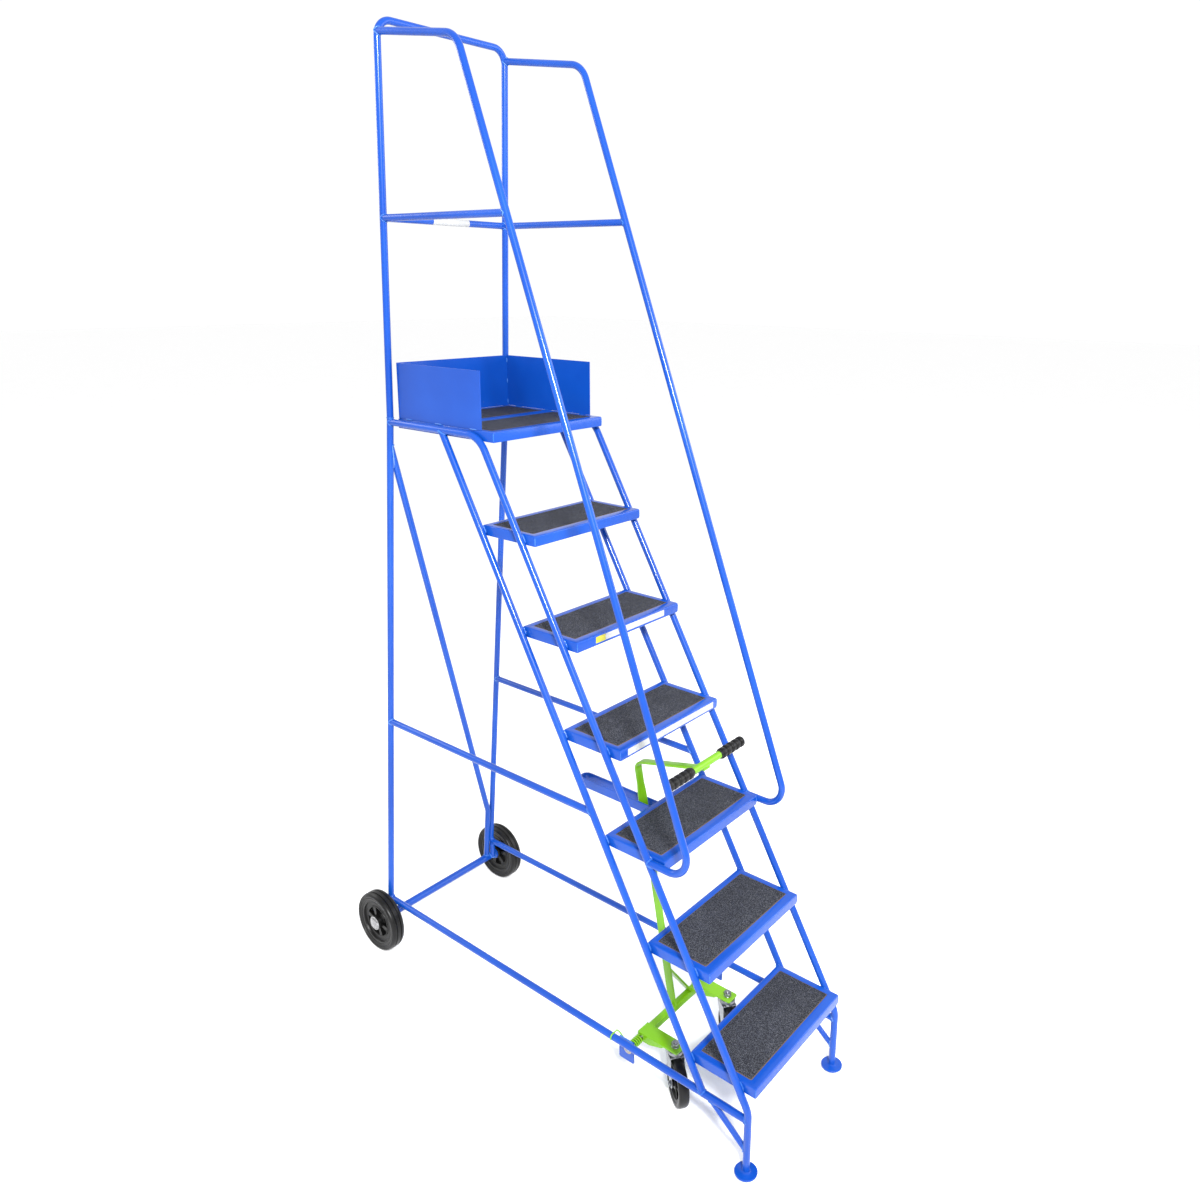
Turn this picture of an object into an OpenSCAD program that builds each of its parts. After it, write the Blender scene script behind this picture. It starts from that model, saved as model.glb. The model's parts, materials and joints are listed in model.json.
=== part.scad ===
// Rolling warehouse ladder: welded steel tube frame, six treads and a platform,
// two fixed rear wheels and a lever-operated carriage with two swivel castors.
// Millimetres. +Z is up and the user climbs towards +Y.

/* [Stairs] */
// Rise from one tread to the next
riser = 250; // [230:1:260]
// Horizontal run from one tread to the next
tread_run = 143; // [120:1:170]
// Width of a tread pan across the ladder
tread_w = 414; // [380:1:500]
// Depth of a tread pan, front to back
tread_d = 195; // [180:1:230]
// Height of a tread pan's folded flange
tread_h = 27; // [20:1:40]
// Number of treads under the platform
tread_count = 6; // [6:1:6]

/* [Frame tube] */
// Outer diameter of the frame tube
tube_d = 19; // [17:0.5:22]
// Wall of the frame tube
tube_wall = 1.5; // [1:0.1:2.5]
// Height of the bottom rails' centre line
rail_z = 159; // [155:1:170]
// Distance of the front legs' centre line behind the lowest tread's front edge
leg_y = 13; // [5:1:20]
// Distance of the front stringers behind the tread fronts
stringer_setback = 52; // [45:1:60]
// Distance between front and rear stringers, front to back
stringer_gap = 148; // [140:1:155]

/* [Platform and guard] */
// Height of the side toe boards above the platform
toe_board_h = 153; // [120:1:200]
// Height of the hoop's top rail above the ground
hoop_z = 2763; // [2650:1:2850]
// Height of the middle guard rails
mid_rail_z = 2282; // [2200:1:2350]
// Height of the handrails' lower ends
handrail_low_z = 736; // [700:1:760]

/* [Rear wheels] */
// Rear wheel diameter
wheel_d = 194; // [180:1:200]
// Rear tyre width
wheel_w = 45; // [38:1:50]
// Distance of the rear axle behind the lowest tread's front edge
axle_y = 1415; // [1410:1:1420]

/* [Castor carriage] */
// Castor wheel diameter
castor_d = 125; // [115:1:125]
// Castor wheel width
castor_w = 30; // [24:1:32]
// Castor trail, from the swivel axis to the axle
castor_trail = 27; // [22:1:30]
// Swivel angle of the castors at rest
castor_turn = -35; // [-60:1:60]
// Height of the carriage's pivot
pivot_z = 137; // [134:1:140]
// Distance of the carriage's pivot behind the lowest tread's front edge
pivot_y = 402; // [398:1:406]
// Sideways place of the lever from the middle of the ladder
carriage_x = -10; // [-12:1:0]

/* [Hidden] */
$fn = 48;

paint = "#2f6bea";
lime = "#84d62c";
grit_grey = "#3f4148";
rubber_black = "#17171a";
zinc = "#c3c6c8";
steel = "#9a9c9e";

// Bare sizes shared by several pieces
sheet = 2;
tube_r = tube_d / 2;
half_w = tread_w / 2 + tube_r;
slope = tread_run / riser;
deck_z = riser * (tread_count + 1);
deck_front = tread_run * tread_count;
deck_rear = deck_front + 2 * tread_d;
deck_tube_z = deck_z - tube_r - 2.5;
joint_z = deck_z;

// Rear plane of the frame: lower part leans more than the guard above the deck
back_y = 1271;
back_lean = 5.1;
guard_lean = 2.1;
rail_rear_y = back_y + (deck_tube_z - rail_z) * tan(back_lean);

// Bend radii of the tube centre lines
leg_bend = 60;
deck_bend = 75;
corner_bend = 30;
hoop_bend = 42;
handrail_top_bend = 65;
handrail_low_bend = 52;

// Handrail centre line
handrail_slope = 0.38;
handrail_offset = -89;
handrail_top_z = 2690;
handrail_rear_z = 2733;

// Feet
foot_r = 29;
foot_t = 5;
foot_lift = 6;

// Axle
wheel_r = wheel_d / 2;
axle_tube_d = 25;
rod_d = 20;
hub_gap = 0.05;
wheel_x = half_w + 41;
axle_tube_len = 2 * (wheel_x - wheel_w / 2) - 2;

// Carriage
bar = 20;
pin_d = 16;
arm_w = 42;
arm_t = 5;
arm_rear_y = pivot_y + 11;
arm_front_y = 280;
arm_top_z = 152;
arm_spacing = 122;
castor_y = 300;
castor_r = castor_d / 2;
bracket_x = tread_w / 2 - 4;
bracket_t = 4;
bracket_w = 50;
lever_tilt = 10.7;
lever_w = 25;
lever_t = 6;
lever_len = 735;
twist_start = 560;
twist_len = 110;
lever_bend = 22;
lever_rise = 13.7;
handle_y = 310;
handle_d = 20;
handle_len = 318;
grip_d = 29;
grip_len = 103;
fork_top = arm_top_z - arm_t;
crown_z = castor_d + 4;
race_gap = 0.3;
stud_d = 12;
guide_rear_y = 745;

origin_y = (leg_y - foot_r + axle_y + wheel_r) / 2;

// Moves the ladder so that its footprint is centred on the origin
module placed() {
    translate([0, -origin_y, 0]) children();
}

// side = -1 is the left of a person climbing, +1 the right
module on_side(side) {
    translate([side * half_w, 0, 0]) children();
}

// Direction of the leg from point a to point b, in degrees
function heading(a, b) = atan2(b[1] - a[1], b[0] - a[0]);

// Signed turn at point i of a polyline, in degrees
function turn(p, i) =
    let (t = heading(p[i], p[i + 1]) - heading(p[i - 1], p[i]))
    t > 180 ? t - 360 : (t < -180 ? t + 360 : t);

// Length that a bend takes from the legs on both sides of its point
function setback(p, r, i) =
    (i == 0 || i == len(p) - 1) ? 0 : r[i] * abs(tan(turn(p, i) / 2));

// One straight leg of a bent tube, in the XY plane
module straight(p, r, i, d) {
    run = norm(p[i + 1] - p[i]);
    start = setback(p, r, i);
    translate(p[i]) rotate([0, 0, heading(p[i], p[i + 1])])
        translate([start, 0, 0]) rotate([0, 90, 0])
        cylinder(d = d, h = run - start - setback(p, r, i + 1));
}

// Bending draws the tube down a little, and a bend runs a short way into both of its legs
bend_thin = 0.5;
bend_lap = 1;

// One bend of a bent tube, in the XY plane
module bend(p, r, i, d) {
    lap = bend_lap / r[i] * 180 / PI;
    t = turn(p, i);
    s = sign(t);
    translate(p[i]) rotate([0, 0, heading(p[i - 1], p[i])])
        translate([-setback(p, r, i), s * r[i], 0]) rotate([0, 0, (s > 0 ? -90 : 90 + t) - lap])
        rotate_extrude(angle = abs(t) + 2 * lap) translate([r[i], 0]) circle(d = d - bend_thin);
}

// Solid bar of diameter d along polyline p with bend radii r, in the XY plane
module bent_bar(p, r, d) {
    for (i = [0:len(p) - 2]) straight(p, r, i, d);
    for (i = [1:1:len(p) - 2]) bend(p, r, i, d);
}

// Clearance that a tube's coped end leaves to the tube it is welded to
cope_gap = 0.05;

// Straight cutter for a coped end, from a to b in the XY plane
module cope(a, b, d = tube_d) {
    bent_bar([a, b], [0, 0], d + 2 * cope_gap);
}

// The same polyline as an open-ended tube
module bent_tube(p, r, d = tube_d) {
    difference() {
        bent_bar(p, r, d);
        bent_bar(p, r, d - 2 * tube_wall);
    }
}

// Turns a shape drawn as (front-to-back, up) in XY into the side plane
module upright_plane() {
    rotate([90, 0, 90]) children();
}

// Front-to-back place of a stringer at height z
function front_stringer_y(z) = slope * z - tread_run + stringer_setback;
function rear_stringer_y(z) = front_stringer_y(z) + stringer_gap;
function back_frame_y(z) = back_y + (deck_tube_z - z) * tan(back_lean);
function guard_y(z) = back_y - (z - deck_tube_z) * tan(guard_lean);
function handrail_y(z) = handrail_offset + handrail_slope * z;

leg_top_z = (leg_y + tread_run - stringer_setback) / slope;

front_path = [
    [leg_y, foot_lift + foot_t],
    [leg_y, leg_top_z],
    [front_stringer_y(deck_tube_z), deck_tube_z],
    [back_y, deck_tube_z]
];
side_path = [
    [leg_y, rail_z],
    [rail_rear_y, rail_z],
    [back_frame_y(joint_z), joint_z]
];
handrail_path = [
    [front_stringer_y(handrail_low_z), handrail_low_z],
    [handrail_y(handrail_low_z), handrail_low_z],
    [handrail_y(handrail_top_z), handrail_top_z],
    [guard_y(handrail_rear_z), handrail_rear_z]
];

// Cutters in the side plane for ends that meet each straight length of tube
module cope_front_stringer() {
    cope([front_stringer_y(2 * riser), 2 * riser], [front_stringer_y(4 * riser), 4 * riser]);
}

module cope_rear_stringer() {
    cope([rear_stringer_y(2 * riser), 2 * riser], [rear_stringer_y(5 * riser), 5 * riser]);
}

module cope_leg() {
    cope([leg_y, 0], [leg_y, rail_z + tube_d]);
}

module cope_rail() {
    cope([0, rail_z], [2 * riser, rail_z]);
}

module cope_deck_tube() {
    cope([deck_front, deck_tube_z], [back_y, deck_tube_z]);
}

module cope_upright(z, reach = riser / 2) {
    cope([back_frame_y(z - reach), z - reach], [back_frame_y(z + reach), z + reach]);
}

module cope_guard(z, reach = riser / 2) {
    cope([guard_y(z - reach), z - reach], [guard_y(z + reach), z + reach]);
}

module cope_handrail(z, reach = riser / 2) {
    cope([handrail_y(z - reach), z - reach], [handrail_y(z + reach), z + reach]);
}

// Plane of the guard hoop: x across, y up along the lean
module guard_plane() {
    translate([0, guard_y(joint_z), joint_z]) rotate([guard_lean, 0, 0]) rotate([90, 0, 0]) children();
}

hoop_h = (hoop_z - joint_z) / cos(guard_lean);
hoop_path = [[-half_w, 0], [-half_w, hoop_h], [half_w, hoop_h], [half_w, 0]];

module front_stringer(side) {
    color(paint) placed() on_side(side) upright_plane() difference() {
        bent_tube(front_path, [0, leg_bend, deck_bend, 0]);
        cope_upright(deck_tube_z, tube_d);
    }
}

module rear_stringer(side) {
    path = [
        [rear_stringer_y(rail_z), rail_z],
        [rear_stringer_y(deck_tube_z), deck_tube_z]
    ];
    color(paint) placed() on_side(side) upright_plane() difference() {
        bent_tube(path, [0, 0]);
        cope_rail();
        cope_deck_tube();
    }
}

module side_frame(side) {
    color(paint) placed() on_side(side) upright_plane() difference() {
        bent_tube(side_path, [0, corner_bend, 0]);
        cope_leg();
    }
}

module guard_hoop() {
    color(paint) placed() guard_plane() bent_tube(hoop_path, [0, hoop_bend, hoop_bend, 0]);
}

module handrail(side) {
    color(paint) placed() on_side(side) difference() {
        upright_plane() difference() {
            bent_tube(handrail_path, [0, handrail_low_bend, handrail_top_bend, 0]);
            cope_front_stringer();
            cope_guard(handrail_rear_z - 50, 60);
        }
        translate([-side * half_w, 0, 0]) guard_plane()
            bend(hoop_path, [0, hoop_bend, hoop_bend, 0], side < 0 ? 1 : 2, tube_d + 2 * cope_gap);
    }
}

// Wedge that mitres the mid rails at the rear corners: outline drawn outwards, then rearwards
module mid_rail_mitre(side, outline) {
    translate([side * half_w, guard_y(mid_rail_z), mid_rail_z - tube_d]) linear_extrude(2 * tube_d)
        scale([side, 1]) polygon(outline);
}

module side_mid_rails() {
    path = [[handrail_y(mid_rail_z), mid_rail_z], [guard_y(mid_rail_z), mid_rail_z]];
    color(paint) placed() for (side = [-1, 1]) difference() {
        on_side(side) upright_plane() difference() {
            bent_tube(path, [0, 0]);
            cope_handrail(mid_rail_z);
            cope_guard(mid_rail_z);
        }
        mid_rail_mitre(side, [[0, -cope_gap], [-tube_d, -tube_d - cope_gap], [-tube_d, tube_d], [0, tube_d]]);
    }
}

module rear_mid_rail() {
    color(paint) placed() difference() {
        translate([0, guard_y(mid_rail_z), mid_rail_z]) rotate([0, 90, 0]) difference() {
            cylinder(d = tube_d, h = 2 * half_w, center = true);
            cylinder(d = tube_d - 2 * tube_wall, h = 2 * half_w + 2, center = true);
        }
        for (side = [-1, 1]) {
            on_side(side) upright_plane() cope_guard(mid_rail_z);
            mid_rail_mitre(side, [[tube_d, 0], [0, 0], [-tube_d, -tube_d], [tube_d, -tube_d]]);
        }
    }
}

brace_z = 804;

module side_braces() {
    path = [[rear_stringer_y(brace_z), brace_z], [back_frame_y(brace_z), brace_z]];
    color(paint) placed() for (side = [-1, 1]) on_side(side) upright_plane() difference() {
        bent_tube(path, [0, 0]);
        cope_rear_stringer();
        cope_upright(brace_z);
    }
}

diagonal_top_z = 1655;
diagonal_knee_z = 290;
diagonal_x = tread_w / 2 - tube_r;

// Plane of the lower uprights: x across, y up along the lean
module back_plane() {
    translate([0, back_y, deck_tube_z]) rotate([back_lean, 0, 0]) rotate([90, 0, 0]) children();
}

// Distance from the platform tube down the leaning plane to height z
function down_lean(z) = (z - deck_tube_z) / cos(back_lean);

module rear_diagonal_brace() {
    path = [
        [-diagonal_x - tube_d, down_lean(diagonal_top_z)],
        [diagonal_x, down_lean(diagonal_knee_z)],
        [diagonal_x, down_lean(wheel_r)]
    ];
    color(paint) placed() difference() {
        back_plane() bent_tube(path, [0, 60, 0]);
        on_side(-1) upright_plane() cope_upright(diagonal_top_z, 80);
        cope_axle();
    }
}

// Cutter for ends that meet the axle tube
module cope_axle() {
    translate([0, axle_y, wheel_r]) rotate([0, 90, 0])
        cylinder(d = axle_tube_d + 2 * cope_gap, h = axle_tube_len, center = true);
}

module axle_tube() {
    flange_t = 4;
    flange_d = 38;
    color(paint) placed() translate([0, axle_y, wheel_r]) rotate([0, 90, 0]) difference() {
        union() {
            cylinder(d = axle_tube_d, h = axle_tube_len, center = true);
            for (side = [-1, 1])
                translate([0, 0, side * (axle_tube_len - flange_t) / 2])
                cylinder(d = flange_d, h = flange_t, center = true);
        }
        cylinder(d = rod_d + 2 * hub_gap, h = axle_tube_len + 2, center = true);
    }
}

module axle_hangers() {
    color(paint) placed() for (side = [-1, 1]) difference() {
        on_side(side) translate([0, axle_y - 10, wheel_r]) cylinder(d = tube_d, h = rail_z - wheel_r + 12);
        on_side(side) upright_plane()
            bend(side_path, [0, corner_bend, 0], 1, tube_d + 2 * cope_gap);
        cope_axle();
    }
}

module foot_braces() {
    path = [[leg_y, 68], [leg_y + 115, rail_z]];
    color(paint) placed() for (side = [-1, 1]) on_side(side) upright_plane() difference() {
        bent_tube(path, [0, 0], 15);
        cope_leg();
        cope_rail();
    }
}

module foot_pads() {
    color(paint) placed() for (side = [-1, 1]) translate([side * half_w, leg_y, foot_lift])
        cylinder(r = foot_r, h = foot_t);
}

// Borders of a tread pan around its grit insert
border_side = 18;
border_front = 25;
border_rear = 18;
grit_t = 3;
grit_play = 0.3;

// Folded pan with its top at z = 0 and its front edge at y = 0
module pan() {
    inner_w = tread_w - 2 * sheet;
    inner_d = tread_d - 2 * sheet;
    pocket_w = tread_w - 2 * border_side;
    pocket_d = tread_d - border_front - border_rear;
    difference() {
        translate([-tread_w / 2, 0, -tread_h]) cube([tread_w, tread_d, tread_h]);
        translate([-pocket_w / 2, border_front, -grit_t]) cube([pocket_w, pocket_d, grit_t + 1]);
        translate([-inner_w / 2, sheet, -tread_h - 1])
            cube([inner_w, inner_d, tread_h + 1 - grit_t - sheet]);
        difference() {
            translate([-inner_w / 2, sheet, -tread_h]) cube([inner_w, inner_d, tread_h - sheet]);
            translate([-pocket_w / 2 - sheet, border_front - sheet, -tread_h])
                cube([pocket_w + 2 * sheet, pocket_d + 2 * sheet, tread_h]);
        }
    }
}

// Grit insert that lies in a pan's pocket
module grit() {
    w = tread_w - 2 * border_side - 2 * grit_play;
    d = tread_d - border_front - border_rear - 2 * grit_play;
    translate([-w / 2, border_front + grit_play, -grit_t]) cube([w, d, grit_t]);
}

module tread(i) {
    color(paint) placed() translate([0, tread_run * (i - 1), riser * i]) pan();
}

module tread_grit(i) {
    color(grit_grey) placed() translate([0, tread_run * (i - 1), riser * i]) grit();
}

module platform_front_pan() {
    color(paint) placed() translate([0, deck_front, deck_z]) pan();
}

module platform_rear_pan() {
    color(paint) placed() translate([0, deck_front + tread_d, deck_z]) pan();
}

module platform_grit() {
    color(grit_grey) placed() for (i = [0, 1])
        translate([0, deck_front + i * tread_d, deck_z]) grit();
}

toe_front_y = deck_front + 45;

// Folded sheet on the platform's back and left edges
module toe_board_corner() {
    fold_r = 8;
    color(paint) placed() translate([0, 0, deck_z]) linear_extrude(toe_board_h) difference() {
        union() {
            translate([-tread_w / 2, toe_front_y]) square([fold_r, deck_rear - fold_r - toe_front_y]);
            translate([-tread_w / 2 + fold_r, deck_rear - fold_r]) square([tread_w - fold_r, fold_r]);
            translate([-tread_w / 2 + fold_r, deck_rear - fold_r]) circle(r = fold_r);
        }
        translate([-tread_w / 2 + fold_r, deck_rear - fold_r]) circle(r = fold_r - sheet);
        translate([-tread_w / 2 + sheet, toe_front_y - 1])
            square([tread_w, deck_rear - fold_r - toe_front_y + 1]);
        translate([-tread_w / 2 + fold_r, deck_rear - fold_r - 1])
            square([tread_w, fold_r + 1 - sheet]);
    }
}

module toe_board_side() {
    color(paint) placed() translate([tread_w / 2 - sheet, toe_front_y, deck_z])
        cube([sheet, deck_rear - sheet - toe_front_y, toe_board_h]);
}

// Hairpin of flat bar behind the third tread, which the lever slides in
module lever_guide() {
    strip = 5;
    gap = 28;
    z0 = riser * 3 - tread_h;
    y0 = tread_run * 2 + tread_d;
    outer_r = gap / 2 + strip;
    straight_end = guide_rear_y - outer_r;
    color(paint) placed() translate([carriage_x, 0, z0]) linear_extrude(tread_h) difference() {
        union() {
            translate([-outer_r, y0]) square([2 * outer_r, straight_end - y0]);
            translate([0, straight_end]) circle(r = outer_r);
        }
        translate([-gap / 2, y0 - 1]) square([gap, straight_end - y0 + 1]);
        translate([0, straight_end]) circle(r = gap / 2);
    }
}

module pivot_brackets() {
    z_low = 99;
    color(paint) placed() for (side = [-1, 1]) difference() {
        translate([side * bracket_x - (side > 0 ? 0 : bracket_t), pivot_y - bracket_w / 2 + 6, z_low])
            cube([bracket_t, bracket_w, rail_z + 5 - z_low]);
        translate([side * bracket_x, pivot_y, pivot_z]) rotate([0, 90, 0])
            cylinder(d = pin_d + 8, h = 4 * bracket_t, center = true);
    }
}

// Flanged bush in each pivot bracket
module pivot_bushes() {
    flange_t = 3;
    color(steel) placed() for (side = [-1, 1])
        translate([side * bracket_x, pivot_y, pivot_z]) rotate([0, side * 90, 0]) difference() {
            union() {
                translate([0, 0, -1]) cylinder(d = pin_d + 8, h = bracket_t + 1);
                translate([0, 0, bracket_t]) cylinder(d = 25, h = flange_t - 1);
            }
            translate([0, 0, -2]) cylinder(d = pin_d + 2 * hub_gap, h = bracket_t + flange_t + 4);
        }
}

// Close-wound torsion springs on the pivot pins, as ridged sleeves
module return_springs() {
    wire = 3;
    coils = 7;
    r = pin_d / 2 + 1 + wire / 2;
    color(lime) placed() for (side = [-1, 1])
        translate([side * (bracket_x - 4), pivot_y, pivot_z]) rotate([0, -side * 90, 0])
        rotate_extrude() union() {
            translate([r - wire / 4, 0]) square([wire / 2, coils * wire]);
            for (i = [0:coils - 1]) translate([r, wire * (i + 0.5)]) circle(d = wire, $fn = 24);
        }
}

module axle_rod() {
    rod_len = 2 * (wheel_x + wheel_w / 2 + 4);
    color(steel) placed() translate([0, axle_y, wheel_r]) rotate([0, 90, 0])
        cylinder(d = rod_d, h = rod_len, center = true);
}

// Pressed caps that hold the rear wheels on the axle rod
module wheel_caps() {
    cap_d = 38;
    color(zinc) placed() for (side = [-1, 1])
        translate([side * (wheel_x + wheel_w / 2 + 1), axle_y, wheel_r]) rotate([0, side * 90, 0])
        difference() {
            union() {
                cylinder(d = cap_d, h = 3);
                translate([0, 0, 3]) cylinder(d1 = cap_d - 8, d2 = cap_d - 16, h = 5);
            }
            translate([0, 0, -1]) cylinder(d = rod_d, h = 4);
        }
}

// Square bar between the castor arms, with a round pin at each end
module carriage_cross_bar() {
    left = carriage_x - arm_spacing - arm_w / 2 + 3;
    right = carriage_x + arm_spacing + arm_w / 2 - 3;
    pin_reach = bracket_x + bracket_t + 4;
    color(lime) placed() translate([0, pivot_y, pivot_z]) union() {
        translate([left, -bar / 2, -bar / 2]) cube([right - left, bar, bar]);
        translate([-pin_reach, 0, 0]) rotate([0, 90, 0]) cylinder(d = pin_d, h = 2 * pin_reach);
    }
}

// Folded arm over the cross bar that carries one castor
module castor_arm(side) {
    flange_t = 3;
    color(lime) placed() translate([carriage_x + side * arm_spacing, 0, 0]) difference() {
        union() {
            translate([-arm_w / 2, arm_front_y, arm_top_z - arm_t])
                cube([arm_w, arm_rear_y - arm_front_y, arm_t]);
            for (x = [-arm_w / 2, arm_w / 2 - flange_t]) translate([x, 0, 0]) rotate([90, 0, 90])
                linear_extrude(flange_t) polygon([
                    [arm_rear_y, arm_top_z - arm_t], [arm_rear_y, pivot_z - bar / 2],
                    [arm_rear_y - 2 * bar, pivot_z - bar / 2], [arm_front_y + 52, arm_top_z - 11],
                    [arm_front_y + 52, arm_top_z - arm_t]
                ]);
        }
        translate([-arm_w, pivot_y, pivot_z]) rotate([0, 90, 0]) cylinder(d = pin_d, h = 2 * arm_w);
        translate([side * (arm_w / 2 - flange_t) - (side > 0 ? arm_w : 0), pivot_y - bar / 2,
            pivot_z - bar / 2 - 1]) cube([arm_w, bar + 2, bar + 1]);
        translate([0, castor_y, arm_top_z - arm_t - 1]) cylinder(d = stud_d + 2 * hub_gap, h = arm_t + 2);
    }
}

// Rectangle section of the lever: across, then front to back
module lever_section() {
    square([lever_t, lever_w], center = true);
}

module lever_bar() {
    twist_end = twist_start + twist_len;
    lap = 0.6;
    lap_turn = lap / lever_bend * 180 / PI;
    top_turn = 90 - lever_rise + lever_tilt;
    bend_in = lever_bend * tan(top_turn / 2);
    lever_top_y = pivot_y + lever_len * sin(lever_tilt);
    top_len = (lever_top_y - handle_y) / cos(lever_rise) + 8 - bend_in;
    color(lime) placed() translate([carriage_x, pivot_y, pivot_z]) rotate([-lever_tilt, 0, 0]) {
        difference() {
            linear_extrude(twist_start + lap) lever_section();
            translate([0, 0, -1]) rotate([lever_tilt, 0, 0])
                cube([2 * bar, 3 * bar, bar + 2], center = true);
        }
        translate([0, 0, twist_start])
            linear_extrude(twist_len, twist = 90, slices = 18) lever_section();
        translate([0, 0, twist_end - lap]) linear_extrude(lever_len - bend_in - twist_end + lap)
            rotate(90) lever_section();
        translate([0, -lever_bend, lever_len - bend_in]) rotate([90, 0, 90]) rotate([0, 0, -lap_turn])
            rotate_extrude(angle = top_turn + 2 * lap_turn) translate([lever_bend, 0])
            square([lever_t - 0.2, lever_w - 0.2], center = true);
        translate([0, 0, lever_len]) rotate([top_turn, 0, 0]) translate([0, 0, bend_in])
            linear_extrude(top_len) rotate(90) lever_section();
    }
}

// Flat strut from the lever down to the right half of the cross bar
module lever_strut() {
    foot_x = 78;
    rise = 112;
    lean = atan2(foot_x, rise);
    color(lime) placed() translate([carriage_x, pivot_y, pivot_z + bar / 2]) difference() {
        translate([foot_x, 0, 0]) rotate([-lever_tilt, -lean, 0])
            translate([-lever_t / 2, -lever_w / 2, -bar])
            cube([lever_t, lever_w, norm([foot_x, rise]) + bar]);
        translate([-bar, -2 * bar, -2 * bar]) cube([2 * foot_x + bar, 4 * bar, 2 * bar]);
        translate([0, 0, -bar / 2]) rotate([-lever_tilt, 0, 0])
            translate([-2 * bar, -2 * bar, 0]) cube([2 * bar + lever_t / 2, 4 * bar, 2 * rise]);
    }
}

// Height of the handle's centre line
handle_z = pivot_z + lever_len * cos(lever_tilt)
    + (pivot_y + lever_len * sin(lever_tilt) - handle_y) * tan(lever_rise)
    + (handle_d + lever_t) / 2 / cos(lever_rise);

module handle_tube() {
    color(lime) placed() translate([carriage_x, handle_y, handle_z]) rotate([0, 90, 0])
        difference() {
            cylinder(d = handle_d, h = handle_len, center = true);
            cylinder(d = handle_d - 4, h = handle_len + 2, center = true);
        }
}

// Ribbed rubber grips, closed at their outer ends
module handle_grips() {
    ribs = 5;
    rib_pitch = grip_len / ribs;
    color(rubber_black) placed() translate([carriage_x, handle_y, handle_z])
        for (side = [-1, 1]) translate([side * (handle_len / 2 + 3), 0, 0])
        rotate([0, -side * 90, 0]) difference() {
            union() {
                cylinder(d = grip_d - 4, h = grip_len);
                for (i = [0:ribs - 1])
                    translate([0, 0, rib_pitch * i]) cylinder(d = grip_d, h = rib_pitch * 0.62);
            }
            translate([0, 0, 3]) cylinder(d = handle_d, h = grip_len);
        }
}

module castor_nuts() {
    color(zinc) placed() for (side = [-1, 1])
        translate([carriage_x + side * arm_spacing, castor_y, arm_top_z]) difference() {
            union() {
                cylinder(d = 22, h = 2);
                translate([0, 0, 2]) cylinder(d = 19 / cos(30), h = 9, $fn = 6);
            }
            translate([0, 0, -1]) cylinder(d = stud_d + 2 * hub_gap, h = 14);
        }
}

// Moves a castor drawn with its swivel axis on Z and its trail along -Y into place
module castor_place(side) {
    translate([carriage_x + side * arm_spacing, castor_y, 0]) rotate([0, 0, castor_turn]) children();
}

cheek_gap = castor_w + 6;
cheek_t = 2.5;

// Side outline of a fork cheek: (forward, up)
module cheek_outline() {
    hull() {
        translate([-castor_trail, castor_r]) circle(r = 13, $fn = 32);
        translate([-20, crown_z]) square([44, 2]);
    }
}

module castor_fork(side) {
    color(zinc) placed() castor_place(side) difference() {
        union() {
            for (x = [-cheek_gap / 2 - cheek_t, cheek_gap / 2])
                translate([x, 0, 0]) rotate([90, 0, 90]) linear_extrude(cheek_t) cheek_outline();
            translate([-cheek_gap / 2 - cheek_t, -20, crown_z])
                cube([cheek_gap + 2 * cheek_t, 44, 3]);
            translate([0, 0, crown_z + 3]) cylinder(d = 38, h = 5);
            translate([0, 0, crown_z + 8]) cylinder(d = 46, h = fork_top - race_gap - crown_z - 8);
            translate([0, 0, crown_z + 8]) cylinder(d = stud_d, h = fork_top + arm_t + 16 - crown_z - 8);
        }
        translate([0, -castor_trail, castor_r]) rotate([0, 90, 0])
            cylinder(d = 8, h = 2 * castor_d, center = true);
    }
}

module castor_axle(side) {
    reach = cheek_gap / 2 + cheek_t;
    color(zinc) placed() castor_place(side) translate([0, -castor_trail, castor_r])
        rotate([0, 90, 0]) union() {
            cylinder(d = 8, h = 2 * reach + 10, center = true);
            for (end = [-1, 1]) translate([0, 0, end * (reach + 3)])
                cylinder(d = 13 / cos(30), h = 6, center = true, $fn = 6);
        }
}

module castor_tyre(side) {
    tread_inset = 5;
    hub_r = castor_r - 16;
    color(rubber_black) placed() castor_place(side) translate([0, -castor_trail, castor_r])
        rotate([0, 90, 0]) rotate_extrude($fn = 96) polygon([
            [hub_r, -castor_w / 2 + 3], [castor_r - tread_inset, -castor_w / 2],
            [castor_r, -castor_w / 2 + tread_inset], [castor_r, castor_w / 2 - tread_inset],
            [castor_r - tread_inset, castor_w / 2], [hub_r, castor_w / 2 - 3]
        ]);
}

module castor_hub(side) {
    hub_r = castor_r - 16;
    boss_r = 16;
    web = 8;
    color(rubber_black) placed() castor_place(side) translate([0, -castor_trail, castor_r])
        rotate([0, 90, 0]) difference() {
            union() {
                difference() {
                    cylinder(r = hub_r, h = castor_w - 6, center = true, $fn = 96);
                    for (end = [-1, 1]) translate([0, 0, end * castor_w / 2])
                        cylinder(r = hub_r - 5, h = castor_w - web, center = true);
                }
                cylinder(r = boss_r, h = castor_w + 4, center = true);
            }
            cylinder(d = 8 + 2 * hub_gap, h = 2 * castor_w, center = true);
        }
}

module rear_wheel_place(side) {
    translate([side * wheel_x, axle_y, wheel_r]) rotate([0, side * 90, 0]) children();
}

rim_r = wheel_r - 24;

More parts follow.
